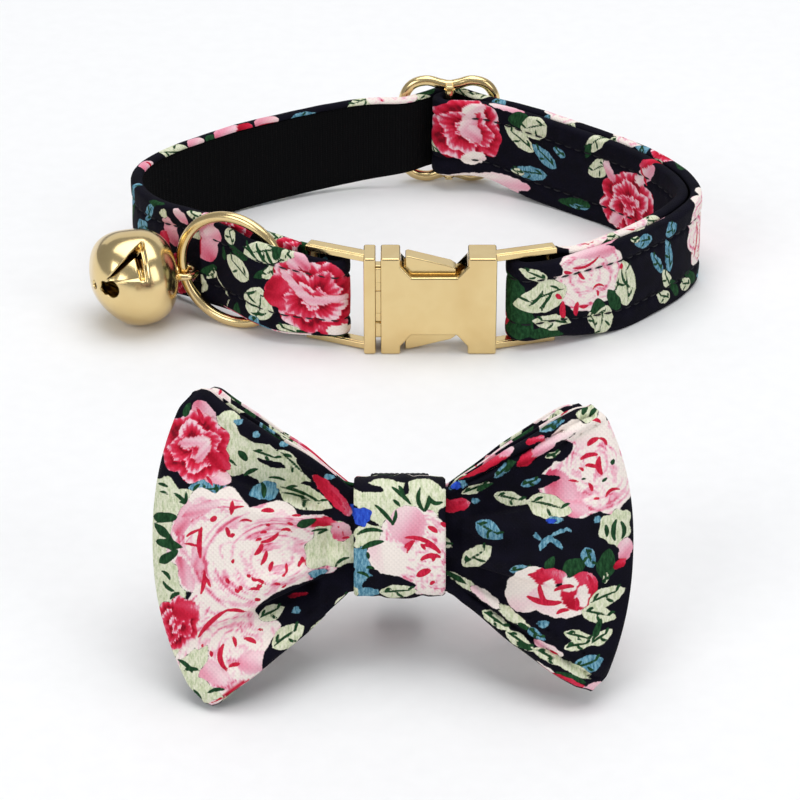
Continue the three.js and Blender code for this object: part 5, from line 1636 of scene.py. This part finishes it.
    ("night", 35.8, -0.6, 3.0, 1.6, -20), ("dark", 29.6, -3.4, 4.4, 3.2, 30),
    ("dark", 35.0, -3.2, 5.4, 3.2, 80), ("blue", 32.0, -1.9, 3.8, 2.4, -70),
    ("petal", 37.2, -3.4, 2.4, 1.4, 30, 1.0, 0.4), ("pale", 34.9, -5.6, 2.0, 1.0, 80),
    ("blue", 21.0, -3.9, 4.0, 1.8, 10), ("dark", 25.6, -2.6, 2.6, 1.6, 60),
    ("petal", 22.2, -7.4, 9.0, 6.8, 60, 0.0, 0.92), ("petal", 27.0, -9.6, 9.4, 5.4, -10, 0.0, 0.86),
    ("petal", 30.6, -7.6, 7.0, 5.6, 60, 1.0, 0.5), ("petal", 25.6, -5.0, 5.6, 3.0, 0, 1.0, 0.6),
    ("petal", 28.8, -6.4, 2.4, 2.4, 0, 0.0, 0.9), ("petal", 31.0, -8.6, 2.0, 3.4, 0, 0.0, 0.9),
    ("petal", 25.6, -6.6, 1.8, 1.6, 0, 0.0, 0.9), ("red", 22.0, -4.8, 24.6, -5.2, 0.3, 1.0),
    ("red", 24.0, -6.4, 25.2, -9.8, -0.4, 1.2), ("red", 22.0, -8.8, 27.6, -9.6, -0.5, 1.5),
    ("red", 26.4, -7.6, 29.6, -6.8, 0.4, 1.2), ("red", 30.0, -8.8, 30.0, -11.0, 0.2, 1.0),
    ("red", 26.8, -11.6, 28.8, -11.0, 0.3, 1.0), ("red", 31.8, -4.8, 32.6, -8.4, 0.4, 1.0),
    ("red", 24.6, -5.4, 24.2, -3.4, 0.2, 0.9), ("pale", 35.2, -8.8, 6.6, 3.2, 20),
    ("pale", 33.8, -11.9, 6.0, 3.0, -14), ("pale", 30.6, -15.6, 5.6, 1.9, -16),
    ("pale", 30.4, -17.0, 5.0, 1.6, 6), ("pale", 34.2, -15.8, 4.4, 2.2, 30),
    ("dark", 33.6, -14.2, 3.4, 1.2, 70), ("blue", 32.0, -20.2, 5.4, 3.0, 14),
    ("sky", 24.6, -13.4, 2.0, 1.2),
    # right wing, its stacked lower edges
    ("patch", 11.4, -7.0, 6.0, 1.5, -30), ("dark", 10.4, -6.4, 4.4, 0.9, -30),
    ("petal", 15.4, -9.4, 6.0, 1.7, -33, 0.0, 0.8), ("patch", 19.6, -12.2, 5.6, 1.8, -34),
    ("dark", 21.4, -13.8, 2.2, 1.0, -30), ("blue", 23.4, -15.0, 3.4, 1.5, -34),
    ("pale", 17.0, -13.2, 5.6, 1.9, -34), ("pale", 20.8, -16.4, 5.6, 2.2, -34),
    ("dark", 21.6, -17.2, 3.0, 1.0, -30), ("petal", 25.4, -17.4, 5.4, 1.5, -28, 0.0, 0.6),
    ("pale", 25.8, -19.0, 6.6, 1.8, -28), ("patch", 29.6, -21.0, 6.4, 1.7, -28),
    ("red", 25.6, -18.0, 27.0, -18.6, 0.1, 0.6), ("petal", 24.6, -21.6, 6.0, 2.2, -32, 0.0, 0.85),
    ("green", 26.6, -21.6, 31.6, -23.6, 0.3, 1.0), ("petal", 29.4, -24.4, 8.4, 2.8, -32, 1.0, 0.5),
    ("petal", 33.0, -25.0, 4.0, 3.0, 30, 0.0, 0.4), ("red", 25.6, -22.8, 28.0, -23.4, 0.2, 0.9),
]
SPRIG = [((22.8, 2.0), (24.2, 1.2), 0.6), ((24.0, -0.4), (25.8, 2.0), 1.1), ((25.8, 2.0), (28.4, 3.0), 0.7),
         ((25.4, 1.6), (27.6, -0.2), 0.9), ((23.2, 2.6), (23.0, 1.6), 0.5), ((28.0, 3.2), (29.0, 2.6), 0.5)]
KNOT_CHART = [
    ("patch", 0.0, 6.8, 16.4, 8.4), ("patch", -4.8, 0.8, 6.0, 5.0), ("night", -5.4, 9.4, 6.0, 1.5, -8),
    ("night", 1.1, 9.4, 2.4, 1.0, 80), ("spot", -6.3, 4.6, 3.2, 3.2), ("sky", -6.2, -3.2, 3.6, 5.6),
    ("sky", -6.2, -7.4, 3.4, 5.6), ("patch", -7.8, -9.0, 2.0, 2.2),
    ("pink", 2.4, -0.8, 13.8, 12.4, 70, 29), ("pink", 5.2, -6.6, 8.0, 6.0, 90, 14),
    ("petal", 1.2, 3.2, 6.6, 5.6, 100, 0.0, 0.44), ("petal", -2.2, -2.8, 7.2, 5.2, -40, 0.0, 0.9),
    ("night", -1.4, -7.0, 8.4, 2.8, -8), ("night", -5.0, -7.2, 3.0, 1.8, 40),
    ("night", 4.4, -9.9, 6.0, 1.0, 0), ("sky", -5.0, -8.9, 3.0, 2.0), ("pale", -0.2, -8.7, 6.4, 2.6, 4),
    ("petal", 7.6, 0.6, 3.0, 2.4, 60, 0.0, 0.92), ("red", 0.7, 1.0, 6.8, -1.7, 0.9, 0.8),
    ("red", 0.7, -0.8, 2.4, 0.4, 0.1, 0.6), ("red", 1.2, -1.7, 2.6, 0.6, 0.2, 0.6),
    ("red", 3.8, -0.4, 6.6, -1.8, 0.5, 0.8), ("red", 3.4, -0.2, 4.2, -1.2, 0.1, 0.6),
    ("red", 3.4, -3.1, 6.8, -2.5, 0.6, 0.9), ("red", 5.6, -2.2, 5.4, -3.2, 0.1, 0.7),
    ("red", 4.7, 2.8, 6.2, 1.8, 0.1, 0.9), ("red", 6.8, 3.4, 7.5, 2.8, 0.1, 0.8),
    ("red", 2.9, -5.8, 5.0, -4.8, 0.1, 1.3), ("red", 5.1, -7.4, 5.8, -6.8, 0.1, 0.7),
    ("green", -4.1, 6.6, -1.0, 3.1, 0.2, 0.7), ("green", -0.6, 5.7, -1.3, 3.1, 0.2, 0.65),
    ("green", -1.3, 9.5, 1.8, 6.7, 0.2, 0.75), ("green", -0.2, 9.8, 0.7, 8.1, 0.1, 0.65),
    ("green", -1.1, 7.4, 0.0, 6.4, 0.1, 0.65), ("green", 3.4, 9.4, 4.1, 5.4, -0.7, 0.75),
    ("green", 4.1, 5.4, 4.8, 8.1, -0.2, 0.75), ("green", 4.8, 8.1, 7.2, 7.1, -0.8, 0.75),
    ("green", -7.1, 1.4, -2.7, 2.0, 0.6, 0.75), ("green", -6.3, -1.0, -2.7, 0.3, 0.2, 1.0),
    ("green", -5.4, -1.6, -5.2, -2.8, 0.1, 0.6), ("green", -5.6, -4.4, -4.2, -4.5, 0.2, 0.6),
    ("green", -7.1, -5.2, -5.0, -6.1, 0.3, 0.6),
]


BEHIND = 90.0               # how far along the cloth the part behind the face is printed


def make_bow_layers(drop):
    made = {}
    for name, layer in BOW_LAYERS.items():
        front = name == "bow_front"
        piece, u, v, face = bow_loop_piece(f"{name}_cloth", layer, drop, front)
        cloth = Print(u + np.where(face, 0.0, BEHIND), v)
        cloth.scatter((48, -32), (132, 32), layer["seed"])
        if front:
            cloth.chart(BOW_CHART, BOW_RED_SHARE)
            for start, end, width in SPRIG:
                cloth.curve("blue", start, end, 0.2, width)
        else:
            cloth.scatter((-42, -32), (42, 32), layer["seed"] + 1)
        cloth.store(piece)
        finished(piece, name, "floral_cotton")
        made[name] = piece
    return made


def rounded_path(depth, height, step):
    """Points round a squarish oval in Y and Z, evenly spaced, starting under its middle."""
    angle = np.linspace(-np.pi / 2, 1.5 * np.pi, 721)
    y = depth / 2 * np.sign(np.cos(angle)) * np.abs(np.cos(angle)) ** 0.6
    z = height / 2 * np.sign(np.sin(angle)) * np.abs(np.sin(angle)) ** 0.6
    path = np.stack([y, z], -1)
    far = np.concatenate([[0], np.cumsum(np.linalg.norm(np.diff(path, axis=0), axis=1))])
    even = np.linspace(0, far[-1], int(far[-1] / step), endpoint=False)
    return np.stack([np.interp(even, far, path[:, k]) for k in (0, 1)], -1), even


def wrap_piece(name, size, middle, step, relief, drop):
    """A band wrapped round in Y and Z: its outer face carries relief(far, x), and its edges are rounded."""
    wall = size["wall"]
    path, far = rounded_path(size["depth"] - wall, size["height"] - wall, step)
    tangent = np.roll(path, -1, 0) - np.roll(path, 1, 0)
    tangent /= np.linalg.norm(tangent, axis=1)[:, None]
    normal = np.stack([tangent[:, 1], -tangent[:, 0]], -1)
    half = size["width"] / 2 - wall / 2
    across = np.linspace(-half, half, int(2 * half / step) + 1)
    spin = np.linspace(90, -90, 9)[1:-1]
    x = np.concatenate([across, half + wall / 2 * np.cos(np.radians(spin)), across[::-1],
                        -half - wall / 2 * np.cos(np.radians(spin[::-1]))])
    lift = np.concatenate([np.full(len(across), 1.0), np.sin(np.radians(spin)), np.full(len(across), -1.0),
                           np.sin(np.radians(spin[::-1]))])
    height = lift[None] * wall / 2 + relief(far[:, None], x[None], path[:, 1][:, None]) * (lift[None] > 0)
    yz = path[:, None] + normal[:, None] * height[..., None]
    points = np.stack([x[None] + 0 * height, yz[..., 0], yz[..., 1]], -1) + middle
    piece = build(name, bow_to_row(points.reshape(-1, 3), drop), grid_quads(len(path), len(x), True, True))
    return piece, points, (far[:, None] + 0 * height), (x[None] + 0 * height), far[-1] + step


def make_knot(drop):
    """The knot's band and the elastic loop; gives both, and how long each is all round."""
    def relief(far, x, z):
        soft = 0.22 * np.cos(np.pi * x / 7.0) + 0.10 * np.sin(x * 1.5 + z * 0.35) * np.cos(z * 0.21)
        pull = -0.30 * np.exp(-((x + 2.2 - 0.12 * z) / 0.8) ** 2) * smooth(3, 9, np.abs(z))
        pull -= 0.26 * np.exp(-((x - 3.0 + 0.08 * z) / 0.7) ** 2) * smooth(4, 10, np.abs(z))
        return soft + pull - 0.1

    knot, points, far, x, round_ = wrap_piece("bow_knot_band", KNOT, (KNOT["x"], 0, 0), 0.30, relief, drop)
    facing = points[..., 1] < 1.0
    u = points[..., 0] - KNOT["x"] + np.where(facing, 0, 60)
    cloth = Print(u, np.where(facing, points[..., 2] * PRINT_STRETCH + PRINT_RISE, far))
    cloth.scatter((50, 0), (70, 70), 83)
    cloth.chart(KNOT_CHART)
    cloth.store(knot)
    finished(knot, "bow_knot", "floral_cotton")

    def ribs(far, x, z):
        return 0.14 * np.abs(np.sin(np.pi * x / 0.9)) ** 0.6 + 0.04 * np.sin(far * 2.1) - 0.1

    middle = (KNOT["x"], KNOT["depth"] / 2 + 0.3 + ELASTIC["depth"] / 2, -ELASTIC["drop"])
    loop, _, loop_far, loop_x, loop_round = wrap_piece("bow_loop_elastic", ELASTIC, middle, 0.28, ribs, drop)
    store_cloth(loop, loop_far.ravel(), loop_x.ravel())
    finished(loop, "bow_loop", "elastic")
    return knot, loop, round_, loop_round


def make_bow():
    drop = bow_drop()
    layers = make_bow_layers(drop)
    knot, loop, knot_round, loop_round = make_knot(drop)


# ---- stage, light and camera ----

CAMERA = (-2.95, -589.1, 284.7)
PITCH = 28.2
LENS = 138.9


def make_stage():
    bpy.ops.mesh.primitive_plane_add(size=8, location=(0, 0, 0))
    floor = bpy.context.active_object
    floor.name = "floor"
    floor.data.materials.append(MATERIALS["floor_paper"])


def area_light(name, place, aim, size, power):
    """A soft rectangular light that points at aim."""
    data = bpy.data.lights.new(name, "AREA")
    data.shape = "RECTANGLE"
    data.size, data.size_y = size
    data.energy = power
    light = bpy.data.objects.new(name, data)
    light.location = place
    towards = np.array(aim) - np.array(place)
    flat = math.hypot(towards[0], towards[1])
    heading = math.atan2(towards[1], towards[0]) - math.pi / 2
    light.rotation_euler = (math.atan2(flat, -towards[2]), 0, heading)
    bpy.context.collection.objects.link(light)


def make_light():
    world = bpy.data.worlds.new("studio")
    world.use_nodes = True
    world.node_tree.nodes["Background"].inputs[0].default_value = (0.92, 0.95, 1.0, 1)
    world.node_tree.nodes["Background"].inputs[1].default_value = 0.36
    bpy.context.scene.world = world
    area_light("top", (0.1, 0.1, 1.1), (0, 0, 0), (1.2, 1.0), 9)
    area_light("front_left", (-0.8, -0.9, 0.75), (0, 0, 0.02), (0.7, 0.7), 4.6)
    area_light("behind", (0, 1.5, 0.75), (0, 0, 0.02), (2.6, 0.9), 3.6)
    area_light("front_right", (0.9, -0.8, 0.6), (0, 0, 0.02), (0.5, 0.8), 2.4)
    bpy.context.scene.view_settings.view_transform = "Standard"


def make_camera():
    data = bpy.data.cameras.new("camera")
    data.lens = LENS
    data.sensor_width = 36
    camera = bpy.data.objects.new("camera", data)
    camera.location = to_row(CAMERA)
    camera.rotation_euler = (math.radians(90 - PITCH), 0, 0)
    bpy.context.collection.objects.link(camera)
    bpy.context.scene.camera = camera


make_camera()
make_stage()
make_light()
make_strap()
make_tab()
make_housing()
make_insert()
make_ring()
make_bell()
make_pellet()
make_slide()
make_bow()
